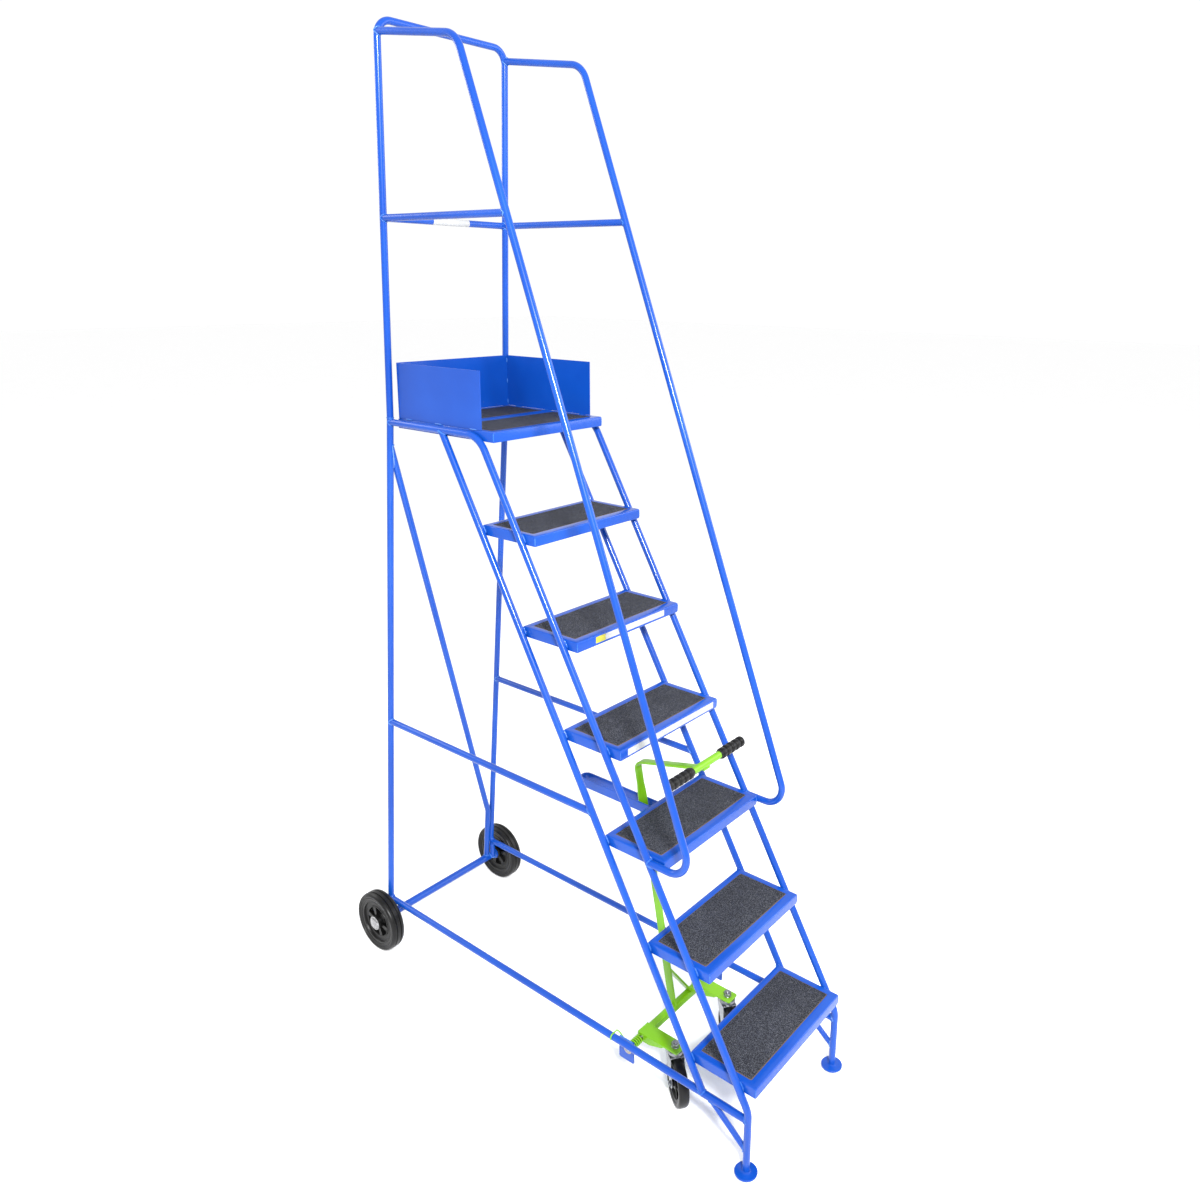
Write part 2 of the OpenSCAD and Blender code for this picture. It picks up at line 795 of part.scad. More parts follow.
// Outline of the tyre: radius, then across the wheel towards its outer face
module rear_tyre(side) {
    half = wheel_w / 2;
    groove = 3;
    color(rubber_black) placed() rear_wheel_place(side) rotate_extrude($fn = 128) difference() {
        polygon([
            [rim_r, 4 - half], [wheel_r - 14, 2 - half], [wheel_r - 9, -half],
            [wheel_r - 3, 4 - half], [wheel_r, 9 - half], [wheel_r, half - 9],
            [wheel_r - 3, half - 4], [wheel_r - 9, half], [wheel_r - 14, half - 2],
            [rim_r, half - 4]
        ]);
        for (y = [-7.5, 7.5]) translate([wheel_r - groove, y - 1.5]) square([groove + 1, 3]);
    }
}

module rear_rim(side) {
    half = wheel_w / 2;
    pockets = 6;
    boss_r = 24;
    color("#202023") placed() rear_wheel_place(side) difference() {
        union() {
            difference() {
                cylinder(r = rim_r, h = wheel_w - 8, center = true, $fn = 128);
                for (end = [-1, 1]) translate([0, 0, end * half])
                    cylinder(r = rim_r - 7, h = wheel_w - 16, center = true, $fn = 96);
            }
            cylinder(r = boss_r, h = wheel_w, center = true);
            for (i = [0:pockets - 1]) rotate([0, 0, i * 360 / pockets])
                translate([boss_r - 2, -2.5, 6 - half]) cube([rim_r - boss_r - 3, 5, wheel_w - 12]);
        }
        cylinder(d = rod_d + 2 * hub_gap, h = wheel_w + 2, center = true);
    }
}

front_stringer(-1);  // left_front_stringer
front_stringer(1);  // right_front_stringer
rear_stringer(-1);  // left_rear_stringer
rear_stringer(1);  // right_rear_stringer
side_frame(-1);  // left_side_frame
side_frame(1);  // right_side_frame
guard_hoop();
handrail(-1);  // left_handrail
handrail(1);  // right_handrail
side_mid_rails();
rear_mid_rail();
side_braces();
rear_diagonal_brace();
axle_tube();
axle_hangers();
foot_braces();
foot_pads();
for (i = [1:tread_count]) {
    tread(i);
    tread_grit(i);
}
platform_front_pan();
platform_rear_pan();
platform_grit();
toe_board_corner();
toe_board_side();
lever_guide();
pivot_brackets();
pivot_bushes();
return_springs();
axle_rod();
wheel_caps();
carriage_cross_bar();
castor_arm(-1);  // left_castor_arm
castor_arm(1);  // right_castor_arm
lever_bar();
lever_strut();
handle_tube();
handle_grips();
castor_nuts();
castor_fork(-1);  // left_castor_fork
castor_fork(1);  // right_castor_fork
castor_axle(-1);  // left_castor_axle
castor_axle(1);  // right_castor_axle
castor_tyre(-1);  // left_castor_tyre
castor_tyre(1);  // right_castor_tyre
castor_hub(-1);  // left_castor_hub
castor_hub(1);  // right_castor_hub
rear_tyre(-1);  // left_rear_tyre
rear_tyre(1);  // right_rear_tyre
rear_rim(-1);  // left_rear_rim
rear_rim(1);  // right_rear_rim
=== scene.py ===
import json
import math
import random

import bmesh
import bpy
from mathutils import Matrix, Vector


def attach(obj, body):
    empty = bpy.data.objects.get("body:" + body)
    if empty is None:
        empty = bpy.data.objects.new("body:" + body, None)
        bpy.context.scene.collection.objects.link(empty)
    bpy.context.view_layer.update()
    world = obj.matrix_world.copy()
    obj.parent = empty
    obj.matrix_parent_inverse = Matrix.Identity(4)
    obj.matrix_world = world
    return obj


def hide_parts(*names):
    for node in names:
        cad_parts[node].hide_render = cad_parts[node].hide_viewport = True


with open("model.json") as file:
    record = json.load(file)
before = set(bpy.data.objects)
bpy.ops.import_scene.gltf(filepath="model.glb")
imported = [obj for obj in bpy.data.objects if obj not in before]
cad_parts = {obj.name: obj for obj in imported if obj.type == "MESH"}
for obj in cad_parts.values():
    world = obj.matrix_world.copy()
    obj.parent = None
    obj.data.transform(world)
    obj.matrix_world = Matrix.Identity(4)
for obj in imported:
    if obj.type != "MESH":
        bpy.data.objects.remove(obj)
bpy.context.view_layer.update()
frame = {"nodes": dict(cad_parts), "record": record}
RNG = random.Random(7)

# ---------------------------------------------------------------- sizes, in millimetres
# The CAD's own sizes. Y counts from the lowest tread's front edge, and ORIGIN_Y is the frame's origin.
ORIGIN_Y = 748.0
RISER, RUN, TREADS = 250.0, 143.0, 6
TREAD_W, TREAD_D, TREAD_H, SHEET = 414.0, 195.0, 27.0, 2.0
TUBE_R = 9.5
HALF_W = 216.5
SLOPE = RUN / RISER
DECK_Z = RISER * (TREADS + 1)
DECK_FRONT = RUN * TREADS
DECK_REAR = DECK_FRONT + 2 * TREAD_D
DECK_TUBE_Z = DECK_Z - TUBE_R - 2.5
LEG_Y, RAIL_Z = 13.0, 159.0
BACK_Y, BACK_LEAN, GUARD_LEAN = 1271.0, math.radians(5.1), math.radians(2.1)
HOOP_Z, MID_Z, BRACE_Z = 2763.0, 2282.0, 804.0
AXLE_Y, WHEEL_R, WHEEL_W = 1415.0, 97.0, 45.0
WHEEL_X = HALF_W + 41
PIVOT_Y, PIVOT_Z = 402.0, 137.0
MID_X, ARM_X = -10.0, 122.0
CASTOR_Y, CASTOR_R, CASTOR_W, TRAIL = 300.0, 62.5, 30.0, 27.0
CASTOR_TURN = math.radians(-35)
STRINGER_AHEAD, STRINGER_GAP = 52.0, 148.0
HAND_FOOT_Y, HAND_SLOPE = -89.0, 0.38
HAND_LOW_Z, HAND_HIGH_Z, HAND_END_Z = 736.0, 2690.0, 2733.0
AXLE, AXLE_TUBE_R, HANGER_Y = (0, AXLE_Y, WHEEL_R), 12.5, AXLE_Y - 10
FOOT_GAP, PAD_T = 6.0, 5.0
FOOT_BRACE_R, FOOT_BRACE_Z, FOOT_BRACE_RUN = 7.5, 68.0, 115.0
DIAG_TOP_Z, DIAG_LOW_Z, DIAG_LOW_X = 1655.0, 290.0, 197.5

X, Y, Z = Vector((1, 0, 0)), Vector((0, 1, 0)), Vector((0, 0, 1))
SIGNS = (-1, 1)
SIDES = ((-1, "left"), (1, "right"))


def front_y(z):
    return SLOPE * z - RUN + STRINGER_AHEAD


def rear_y(z):
    return front_y(z) + STRINGER_GAP


def back_y(z):
    return BACK_Y + (DECK_TUBE_Z - z) * math.tan(BACK_LEAN)


def guard_y(z):
    return back_y(DECK_Z) - (z - DECK_Z) * math.tan(GUARD_LEAN)


def handrail_y(z):
    return HAND_FOOT_Y + HAND_SLOPE * z


def place(p):
    return Vector((p[0], p[1] - ORIGIN_Y, p[2])) / 1000


# ---------------------------------------------------------------- materials
def new_material(name):
    m = bpy.data.materials.new(name)
    m.use_nodes = True
    nt = m.node_tree
    return m, nt, nt.nodes["Principled BSDF"]


def node(nt, kind, **values):
    n = nt.nodes.new(kind)
    for k, v in values.items():
        if k in n.inputs:
            n.inputs[k].default_value = v
        else:
            setattr(n, k, v)
    return n


def ramp(nt, fac, stops):
    n = nt.nodes.new("ShaderNodeValToRGB")
    e = n.color_ramp.elements
    while len(e) < len(stops):
        e.new(0.5)
    for i, (pos, col) in enumerate(stops):
        e[i].position = pos
        e[i].color = (*col, 1) if len(col) == 3 else col
    nt.links.new(fac, n.inputs["Fac"])
    return n


def noise(nt, coord, scale, detail=3.0, rough=0.5):
    n = node(nt, "ShaderNodeTexNoise", Scale=scale, Detail=detail, Roughness=rough)
    nt.links.new(coord, n.inputs["Vector"])
    return n


def value_range(nt, fac, lo, hi):
    n = node(nt, "ShaderNodeMapRange")
    n.inputs["To Min"].default_value = lo
    n.inputs["To Max"].default_value = hi
    nt.links.new(fac, n.inputs["Value"])
    return n


def bump(nt, bsdf, height, strength, distance):
    n = node(nt, "ShaderNodeBump", Strength=strength, Distance=distance)
    nt.links.new(height, n.inputs["Height"])
    nt.links.new(n.outputs["Normal"], bsdf.inputs["Normal"])
    return n


def powder_coat(name, base, dark, light, rough=(0.24, 0.40)):
    m, nt, b = new_material(name)
    c = nt.nodes.new("ShaderNodeTexCoord").outputs["Object"]
    cloud = noise(nt, c, 3.2, 4)
    tone = ramp(nt, cloud.outputs["Fac"], [(0.30, dark), (0.5, base), (0.72, light)])
    scuff = noise(nt, c, 95, 6, 0.7)
    marks = ramp(nt, scuff.outputs["Fac"], [(0.66, (0, 0, 0)), (0.80, (1, 1, 1))])
    mix = node(nt, "ShaderNodeMix", data_type="RGBA")
    mix.inputs["B"].default_value = (*[min(1, x * 1.5 + 0.03) for x in base], 1)
    soft = node(nt, "ShaderNodeMath", operation="MULTIPLY")
    soft.inputs[1].default_value = 0.35
    nt.links.new(marks.outputs["Color"], soft.inputs[0])
    nt.links.new(soft.outputs[0], mix.inputs["Factor"])
    nt.links.new(tone.outputs["Color"], mix.inputs["A"])
    nt.links.new(mix.outputs["Result"], b.inputs["Base Color"])
    nt.links.new(value_range(nt, scuff.outputs["Fac"], *rough).outputs[0], b.inputs["Roughness"])
    peel = noise(nt, c, 900, 2)
    bump(nt, b, peel.outputs["Fac"], 0.16, 0.0004)
    b.inputs["Specular IOR Level"].default_value = 0.14
    b.inputs["Coat Weight"].default_value = 0.45
    b.inputs["Coat Roughness"].default_value = 0.14
    return m


def grit_material():
    m, nt, b = new_material("grit_tread")
    c = nt.nodes.new("ShaderNodeTexCoord").outputs["Object"]
    cell = node(nt, "ShaderNodeTexVoronoi", Scale=640.0)
    nt.links.new(c, cell.inputs["Vector"])
    fine = noise(nt, c, 700, 5, 0.7)
    broad = noise(nt, c, 14, 4, 0.6)
    add = node(nt, "ShaderNodeMath", operation="MULTIPLY_ADD")
    add.inputs[1].default_value = 0.55
    nt.links.new(fine.outputs["Fac"], add.inputs[0])
    nt.links.new(cell.outputs["Distance"], add.inputs[2])
    tone = ramp(nt, add.outputs[0], [
        (0.30, (0.002, 0.0025, 0.004)), (0.60, (0.005, 0.006, 0.010)),
        (0.82, (0.014, 0.016, 0.024)), (0.98, (0.09, 0.095, 0.11))])
    worn = ramp(nt, broad.outputs["Fac"], [(0.35, (0.85, 0.85, 0.86)), (0.7, (1.15, 1.14, 1.14))])
    mul = node(nt, "ShaderNodeMix", data_type="RGBA", blend_type="MULTIPLY")
    mul.inputs["Factor"].default_value = 1.0
    nt.links.new(tone.outputs["Color"], mul.inputs["A"])
    nt.links.new(worn.outputs["Color"], mul.inputs["B"])
    nt.links.new(mul.outputs["Result"], b.inputs["Base Color"])
    nt.links.new(value_range(nt, cell.outputs["Distance"], 0.45, 0.92).outputs[0], b.inputs["Roughness"])
    bump(nt, b, add.outputs[0], 0.9, 0.0012)
    b.inputs["Specular IOR Level"].default_value = 0.16
    return m


def rubber(name, base, light, scale):
    m, nt, b = new_material(name)
    c = nt.nodes.new("ShaderNodeTexCoord").outputs["Object"]
    dust = noise(nt, c, scale, 5, 0.65)
    tone = ramp(nt, dust.outputs["Fac"], [(0.35, (base,) * 3), (0.75, (light, light, light * 1.04))])
    nt.links.new(tone.outputs["Color"], b.inputs["Base Color"])
    nt.links.new(value_range(nt, dust.outputs["Fac"], 0.22, 0.5).outputs[0], b.inputs["Roughness"])
    fine = noise(nt, c, 1400, 3)
    bump(nt, b, fine.outputs["Fac"], 0.25, 0.0004)
    b.inputs["Specular IOR Level"].default_value = 0.24
    return m


def metal(name, base, dark, rough=(0.22, 0.42), scale=60, grain=(1, 1, 1)):
    m, nt, b = new_material(name)
    c = nt.nodes.new("ShaderNodeTexCoord").outputs["Object"]
    mp = node(nt, "ShaderNodeMapping")
    mp.inputs["Scale"].default_value = grain
    nt.links.new(c, mp.inputs["Vector"])
    cloud = noise(nt, mp.outputs["Vector"], scale, 5, 0.6)
    tone = ramp(nt, cloud.outputs["Fac"], [(0.32, dark), (0.62, base)])
    nt.links.new(tone.outputs["Color"], b.inputs["Base Color"])
    b.inputs["Metallic"].default_value = 1.0
    nt.links.new(value_range(nt, cloud.outputs["Fac"], *rough).outputs[0], b.inputs["Roughness"])
    fine = noise(nt, mp.outputs["Vector"], scale * 14, 3)
    bump(nt, b, fine.outputs["Fac"], 0.15, 0.0003)
    return m


def label_material(name, base, rough=0.4):
    m, nt, b = new_material(name)
    c = nt.nodes.new("ShaderNodeTexCoord").outputs["Object"]
    dirt = noise(nt, c, 120, 5, 0.6)
    tone = ramp(nt, dirt.outputs["Fac"], [(0.3, tuple(x * 0.86 for x in base)), (0.6, base)])
    nt.links.new(tone.outputs["Color"], b.inputs["Base Color"])
    nt.links.new(value_range(nt, dirt.outputs["Fac"], rough - 0.08, rough + 0.1).outputs[0],
                 b.inputs["Roughness"])
    bump(nt, b, dirt.outputs["Fac"], 0.1, 0.0003)
    return m


BLUE = powder_coat("blue_powder_coat", (0.003, 0.054, 0.335), (0.002, 0.044, 0.29), (0.006, 0.068, 0.38))
# The welds carry the same blue paint as the frame: this lighter copy of it is painted highlight on the beads
WELD_PAINTED_HIGHLIGHT = powder_coat("blue_weld_painted_highlight", (0.03, 0.13, 0.44), (0.01, 0.08, 0.36), (0.14, 0.26, 0.55), (0.2, 0.5))
GREEN = powder_coat("green_powder_coat", (0.135, 0.34, 0.004), (0.11, 0.30, 0.003), (0.17, 0.40, 0.008))
ADHESIVE = label_material("grit_adhesive_edge", (0.085, 0.055, 0.035), 0.6)
GRIT = grit_material()
GRIP = rubber("grip_rubber", 0.003, 0.010, 70)
TYRE = rubber("tyre_rubber", 0.003, 0.008, 45)
PLASTIC = rubber("wheel_plastic", 0.002, 0.005, 30)
ZINC = metal("zinc_plate", (0.33, 0.34, 0.36), (0.16, 0.17, 0.18))
STEEL = metal("bright_steel", (0.42, 0.42, 0.43), (0.20, 0.20, 0.21), (0.14, 0.3), 40, (1, 6, 6))
BUSH = metal("bronze_bush", (0.48, 0.40, 0.30), (0.30, 0.25, 0.18), (0.3, 0.5))
LABEL_WHITE = label_material("label_white", (0.42, 0.43, 0.44))
LABEL_YELLOW = label_material("label_yellow", (0.44, 0.40, 0.03))
SLOTS = {"blue_paint": BLUE, "green_paint": GREEN, "grit": GRIT, "grip_rubber": GRIP,
         "wheel_rubber": TYRE, "black_plastic": PLASTIC, "zinc_steel": ZINC}
FRAME_BLUE = (BLUE, "frame", "blue_paint")


# ---------------------------------------------------------------- mesh helpers
def make(name, verts, faces, material, body, slot, replaces=(), sharp=32, bevel=0.0):
    """A mesh piece from points in millimetres that rides on a body."""
    me = bpy.data.meshes.new(name)
    me.from_pydata([place(v) for v in verts], [], faces)
    me.validate()
    me.update()
    o = bpy.data.objects.new(name, me)
    bpy.context.scene.collection.objects.link(o)
    o.data.materials.append(material)
    face_outwards(me)
    for p in me.polygons:
        p.use_smooth = True
    me.set_sharp_from_angle(angle=math.radians(sharp))
    if bevel:
        b = o.modifiers.new("edges", "BEVEL")
        b.width = bevel / 1000
        b.segments = 2
        b.limit_method = "ANGLE"
        b.angle_limit = math.radians(40)
        b.harden_normals = True
    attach(o, body)
    if replaces:
        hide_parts(*replaces)
    return o


def face_outwards(me):
    bm = bmesh.new()
    bm.from_mesh(me)
    bmesh.ops.remove_doubles(bm, verts=bm.verts, dist=1e-6)
    bmesh.ops.recalc_face_normals(bm, faces=bm.faces)
    bm.to_mesh(me)
    bm.free()


class Part:
    """Collects several closed shells into one piece."""

    def __init__(self):
        self.v, self.f = [], []

    def add(self, verts, faces):
        n = len(self.v)
        self.v += [tuple(p) for p in verts]
        self.f += [tuple(i + n for i in f) for f in faces]
        return self

    def make(self, name, *args, **kw):
        return make(name, self.v, self.f, *args, **kw)


def fillet(points, radii, step=5.0):
    """A polyline with its corners rounded, as a dense list of points."""
    pts = [Vector(p) for p in points]
    out = [pts[0]]
    for i in range(1, len(pts) - 1):
        a, b, c = pts[i - 1], pts[i], pts[i + 1]
        u, w = (a - b).normalized(), (c - b).normalized()
        turn = math.pi - u.angle(w)
        r = radii[i]
        if r <= 0 or turn < 1e-4:
            out.append(b)
            continue
        t = r * math.tan(turn / 2)
        centre = b + (u + w).normalized() * (r / math.cos(turn / 2))
        start, end = b + u * t, b + w * t
        n = max(4, int(math.degrees(turn) / step))
        e1 = (start - centre).normalized()
        axis = e1.cross((end - centre).normalized()).normalized()
        e2 = axis.cross(e1)
        for k in range(n + 1):
            th = turn * k / n
            out.append(centre + (e1 * math.cos(th) + e2 * math.sin(th)) * r)
    out.append(pts[-1])
    return out


def frames(path, closed=False):
    """Tangent, normal and binormal at each point, with no twist."""
    n = len(path)
    tans = []
    for i in range(n):
        a = path[(i - 1) % n] if closed or i else path[0]
        b = path[(i + 1) % n] if closed or i < n - 1 else path[-1]
        tans.append((b - a).normalized())
    ref = Vector((1, 0, 0)) if abs(tans[0].x) < 0.9 else Vector((0, 1, 0))
    nor = (ref - tans[0] * ref.dot(tans[0])).normalized()
    out = []
    for t in tans:
        nor = (nor - t * nor.dot(t)).normalized()
        out.append((t, nor, t.cross(nor)))
    return out


def tube_shell(path, radius, segs=28, closed=False, radii=None):
    path = [Vector(p) for p in path]
    fr = frames(path, closed)
    verts, faces = [], []
    for i, (p, (t, n, b)) in enumerate(zip(path, fr)):
        r = radii[i] if radii else radius
        for k in range(segs):
            a = 2 * math.pi * k / segs
            verts.append(p + (n * math.cos(a) + b * math.sin(a)) * r)
    rings = len(path)
    for i in range(rings if closed else rings - 1):
        j = (i + 1) % rings
        for k in range(segs):
            m = (k + 1) % segs
            faces.append((i * segs + k, i * segs + m, j * segs + m, j * segs + k))
    if not closed:
        faces.append(tuple(range(segs - 1, -1, -1)))
        faces.append(tuple((rings - 1) * segs + k for k in range(segs)))
    return verts, faces


def lathe_shell(profile, origin, axis, segs=96):
    """A closed profile of (radius, distance along the axis) turned about the axis."""
    origin, axis = Vector(origin), Vector(axis).normalized()
    ref = Z if abs(axis.z) < 0.9 else X
    e1 = (ref - axis * ref.dot(axis)).normalized()
    e2 = axis.cross(e1)
    verts, faces, rows = [], [], []
    for r, h in profile:
        if r < 1e-6:
            verts.append(origin + axis * h)
            rows.append([len(verts) - 1] * segs)
            continue
        row = []
        for k in range(segs):
            a = 2 * math.pi * k / segs
            verts.append(origin + axis * h + (e1 * math.cos(a) + e2 * math.sin(a)) * r)
            row.append(len(verts) - 1)
        rows.append(row)
    n = len(rows)
    for i in range(n):
        a, b = rows[i], rows[(i + 1) % n]
        for k in range(segs):
            m = (k + 1) % segs
            q = []
            for x in (a[k], a[m], b[m], b[k]):
                if x not in q:
                    q.append(x)
            if len(q) > 2:
                faces.append(tuple(q))
    return verts, faces


def mirrored(half, middle=()):
    """A lathe profile that is the same on both sides, from the half with distances from the centre."""
    return [(r, -d) for r, d in half] + list(middle) + [(r, d) for r, d in reversed(half)]


def outline(points, radii, step=15.0):
    """A closed 2-D polygon with rounded corners."""
    out = []
    n = len(points)
    for i in range(n):
        a, b, c = (Vector(points[(i + d) % n]) for d in (-1, 0, 1))
        r = radii[i] if isinstance(radii, (list, tuple)) else radii
        u, w = (a - b).normalized(), (c - b).normalized()
        turn = math.pi - u.angle(w)
        if r <= 0 or turn < 1e-4:
            out.append(tuple(b))
            continue
        t = r * math.tan(turn / 2)
        centre = b + (u + w).normalized() * (r / math.cos(turn / 2))
        s, e = b + u * t - centre, b + w * t - centre
        a0 = math.atan2(s.y, s.x)
        d = math.atan2(e.y, e.x) - a0
        d = (d + math.pi) % (2 * math.pi) - math.pi
        k = max(2, int(math.degrees(turn) / step))
        for j in range(k + 1):
            th = a0 + d * j / k
            out.append((centre.x + r * math.cos(th), centre.y + r * math.sin(th)))
    return out


def plate_shell(poly, origin, u, v, thick):
    """A flat plate: its outline in the (u, v) plane, with thickness along u x v."""
    origin, u, v = Vector(origin), Vector(u), Vector(v)
    w = u.cross(v).normalized()
    n = len(poly)
    verts = [origin + u * p[0] + v * p[1] for p in poly]
    verts += [p + w * thick for p in verts]
    faces = [tuple(range(n - 1, -1, -1)), tuple(range(n, 2 * n))]
    faces += [(i, (i + 1) % n, n + (i + 1) % n, n + i) for i in range(n)]
    return verts, faces


def loft_shell(sections):
    n = len(sections[0])
    verts = [p for s in sections for p in s]
    faces = []
    for i in range(len(sections) - 1):
        for k in range(n):
            m = (k + 1) % n
            faces.append((i * n + k, i * n + m, (i + 1) * n + m, (i + 1) * n + k))
    faces.append(tuple(range(n - 1, -1, -1)))
    faces.append(tuple((len(sections) - 1) * n + k for k in range(n)))
    return verts, faces


# ---------------------------------------------------------------- welds
WELDS = Part()


def bead(path, radius, closed=False, wave=0.18, step=2.2):
    """A weld bead with ripples and slightly uneven width."""
    pts = [Vector(p) for p in path]
    if closed:
        pts.append(pts[0])
    dense = []
    for a, b in zip(pts, pts[1:]):
        n = max(1, int((b - a).length / step))
        dense += [a.lerp(b, k / n) for k in range(n)]
    if not closed:
        dense.append(pts[-1])
    phase = RNG.random() * 6
    radii = []
    for i in range(len(dense)):
        r = radius * (1 + wave * math.sin(i * 1.9 + phase) * 0.5 + wave * (RNG.random() - 0.5))
        if not closed:
            edge = min(i, len(dense) - 1 - i)
            r *= min(1.0, 0.35 + edge * 0.35)
        radii.append(r)
    WELDS.add(*tube_shell(dense, radius, 8, closed, radii))


def saddle(main_pt, main_dir, main_r, branch_pt, branch_dir, branch_r, radius=1.9):
    """The bead where a branch tube's end meets a main tube. branch_dir points away from the main tube."""
    mp, md = Vector(main_pt), Vector(main_dir).normalized()
    bp, bd = Vector(branch_pt), Vector(branch_dir).normalized()
    u = bd.cross(md).normalized()
    w = bd.cross(u)
    pts = []
    for k in range(28):
        a = 2 * math.pi * k / 28
        q = bp + (u * math.cos(a) + w * math.sin(a)) * (branch_r + 0.3)
        d0 = (q - mp) - md * (q - mp).dot(md)
        d1 = bd - md * bd.dot(md)
        aa, bb, cc = d1.dot(d1), 2 * d0.dot(d1), d0.dot(d0) - (main_r + 0.3) ** 2
        disc = max(0.0, bb * bb - 4 * aa * cc)
        pts.append(q + bd * ((-bb + math.sqrt(disc)) / (2 * aa)))
    bead(pts, radius, True)


# ---------------------------------------------------------------- frame tubes
def side(points, s):
    return [(s * HALF_W, p[0], p[1]) for p in points]


def tube(name, path, replaces):
    return Part().add(*tube_shell(path, TUBE_R)).make(name, *FRAME_BLUE, replaces, sharp=50)


leg_top = (LEG_Y + RUN - STRINGER_AHEAD) / SLOPE
front_path = [(LEG_Y, FOOT_GAP + PAD_T), (LEG_Y, leg_top), (front_y(DECK_TUBE_Z), DECK_TUBE_Z),
              (BACK_Y, DECK_TUBE_Z)]
side_path = [(LEG_Y, RAIL_Z), (back_y(RAIL_Z), RAIL_Z), (back_y(DECK_Z), DECK_Z)]
hand_path = [(front_y(HAND_LOW_Z), HAND_LOW_Z), (handrail_y(HAND_LOW_Z), HAND_LOW_Z),
             (handrail_y(HAND_HIGH_Z), HAND_HIGH_Z), (guard_y(HAND_END_Z), HAND_END_Z)]
UP_DIR = Vector((0, -math.sin(BACK_LEAN), math.cos(BACK_LEAN)))
GUARD_DIR = Vector((0, -math.sin(GUARD_LEAN), math.cos(GUARD_LEAN)))
STAIR_DIR = Vector((0, SLOPE, 1)).normalized()
HAND_DIR = Vector((0, HAND_SLOPE, 1)).normalized()

hand_end_dir = Vector((0, handrail_y(HAND_HIGH_Z) - guard_y(HAND_END_Z),
                       HAND_HIGH_Z - HAND_END_Z)).normalized()

for s, w in SIDES:
    tube(f"{w}_front_stringer_tube", fillet(side(front_path, s), [0, 60, 75, 0]), [f"{w}_front_stringer"])
    tube(f"{w}_rear_stringer_tube", side([(rear_y(z), z) for z in (RAIL_Z, DECK_TUBE_Z)], s),
         [f"{w}_rear_stringer"])
    tube(f"{w}_side_frame_tube", fillet(side(side_path, s), [0, 16, 0]), [f"{w}_side_frame"])
    tube(f"{w}_handrail_tube", fillet(side(hand_path, s), [0, 52, 65, 0]), [f"{w}_handrail"])
    x = s * HALF_W
    for y, z, main_dir, branch_dir in (
            (LEG_Y, RAIL_Z, Z, Y),
            (rear_y(RAIL_Z), RAIL_Z, Y, STAIR_DIR),
            (rear_y(DECK_TUBE_Z), DECK_TUBE_Z, Y, -STAIR_DIR),
            (BACK_Y, DECK_TUBE_Z, UP_DIR, -Y),
            (front_y(HAND_LOW_Z), HAND_LOW_Z, STAIR_DIR, -Y),
            (guard_y(HAND_END_Z), HAND_END_Z, GUARD_DIR, hand_end_dir),
            (handrail_y(MID_Z), MID_Z, HAND_DIR, Y),
            (guard_y(MID_Z), MID_Z, GUARD_DIR, -Y),
            (guard_y(MID_Z), MID_Z, GUARD_DIR, X * -s),
            (rear_y(BRACE_Z), BRACE_Z, STAIR_DIR, Y),
            (back_y(BRACE_Z), BRACE_Z, UP_DIR, -Y)):
        saddle((x, y, z), main_dir, TUBE_R, (x, y, z), branch_dir, TUBE_R)
    collar = TUBE_R + 0.2
    bead([(x + collar * math.cos(a), back_y(DECK_Z) + collar * math.sin(a), DECK_Z)
          for a in (2 * math.pi * k / 28 for k in range(28))], 1.5, True)

hoop = fillet([(-HALF_W, guard_y(DECK_Z), DECK_Z), (-HALF_W, guard_y(HOOP_Z), HOOP_Z),
               (HALF_W, guard_y(HOOP_Z), HOOP_Z), (HALF_W, guard_y(DECK_Z), DECK_Z)], [0, 42, 42, 0])
tube("guard_hoop_tube", hoop, ["guard_hoop"])

mid = Part()
for s in SIGNS:
    mid.add(*tube_shell(side([(handrail_y(MID_Z), MID_Z), (guard_y(MID_Z), MID_Z)], s), TUBE_R))
mid.make("side_mid_rail_tubes", *FRAME_BLUE, ["side_mid_rails"], sharp=50)
tube("rear_mid_rail_tube", [(s * HALF_W, guard_y(MID_Z), MID_Z) for s in SIGNS], ["rear_mid_rail"])
braces, feet, hangers = Part(), Part(), Part()
for s in SIGNS:
    x = s * HALF_W
    braces.add(*tube_shell([(x, rear_y(BRACE_Z), BRACE_Z), (x, back_y(BRACE_Z), BRACE_Z)], TUBE_R))
    low, high = Vector((x, LEG_Y, FOOT_BRACE_Z)), Vector((x, LEG_Y + FOOT_BRACE_RUN, RAIL_Z))
    slant = (high - low).normalized()
    feet.add(*tube_shell([low, high], FOOT_BRACE_R))
    saddle(low, Z, TUBE_R, low, slant, FOOT_BRACE_R)
    saddle(high, Y, TUBE_R, high, -slant, FOOT_BRACE_R)
    hangers.add(*tube_shell([(x, HANGER_Y, WHEEL_R), (x, HANGER_Y, RAIL_Z + 8)], TUBE_R))
    saddle(AXLE, X, AXLE_TUBE_R, (x, HANGER_Y, WHEEL_R), Z, TUBE_R)
braces.make("side_brace_tubes", *FRAME_BLUE, ["side_braces"], sharp=50)
feet.make("foot_brace_tubes", *FRAME_BLUE, ["foot_braces"], sharp=50)
hangers.make("axle_hanger_tubes", *FRAME_BLUE, ["axle_hangers"], sharp=50)

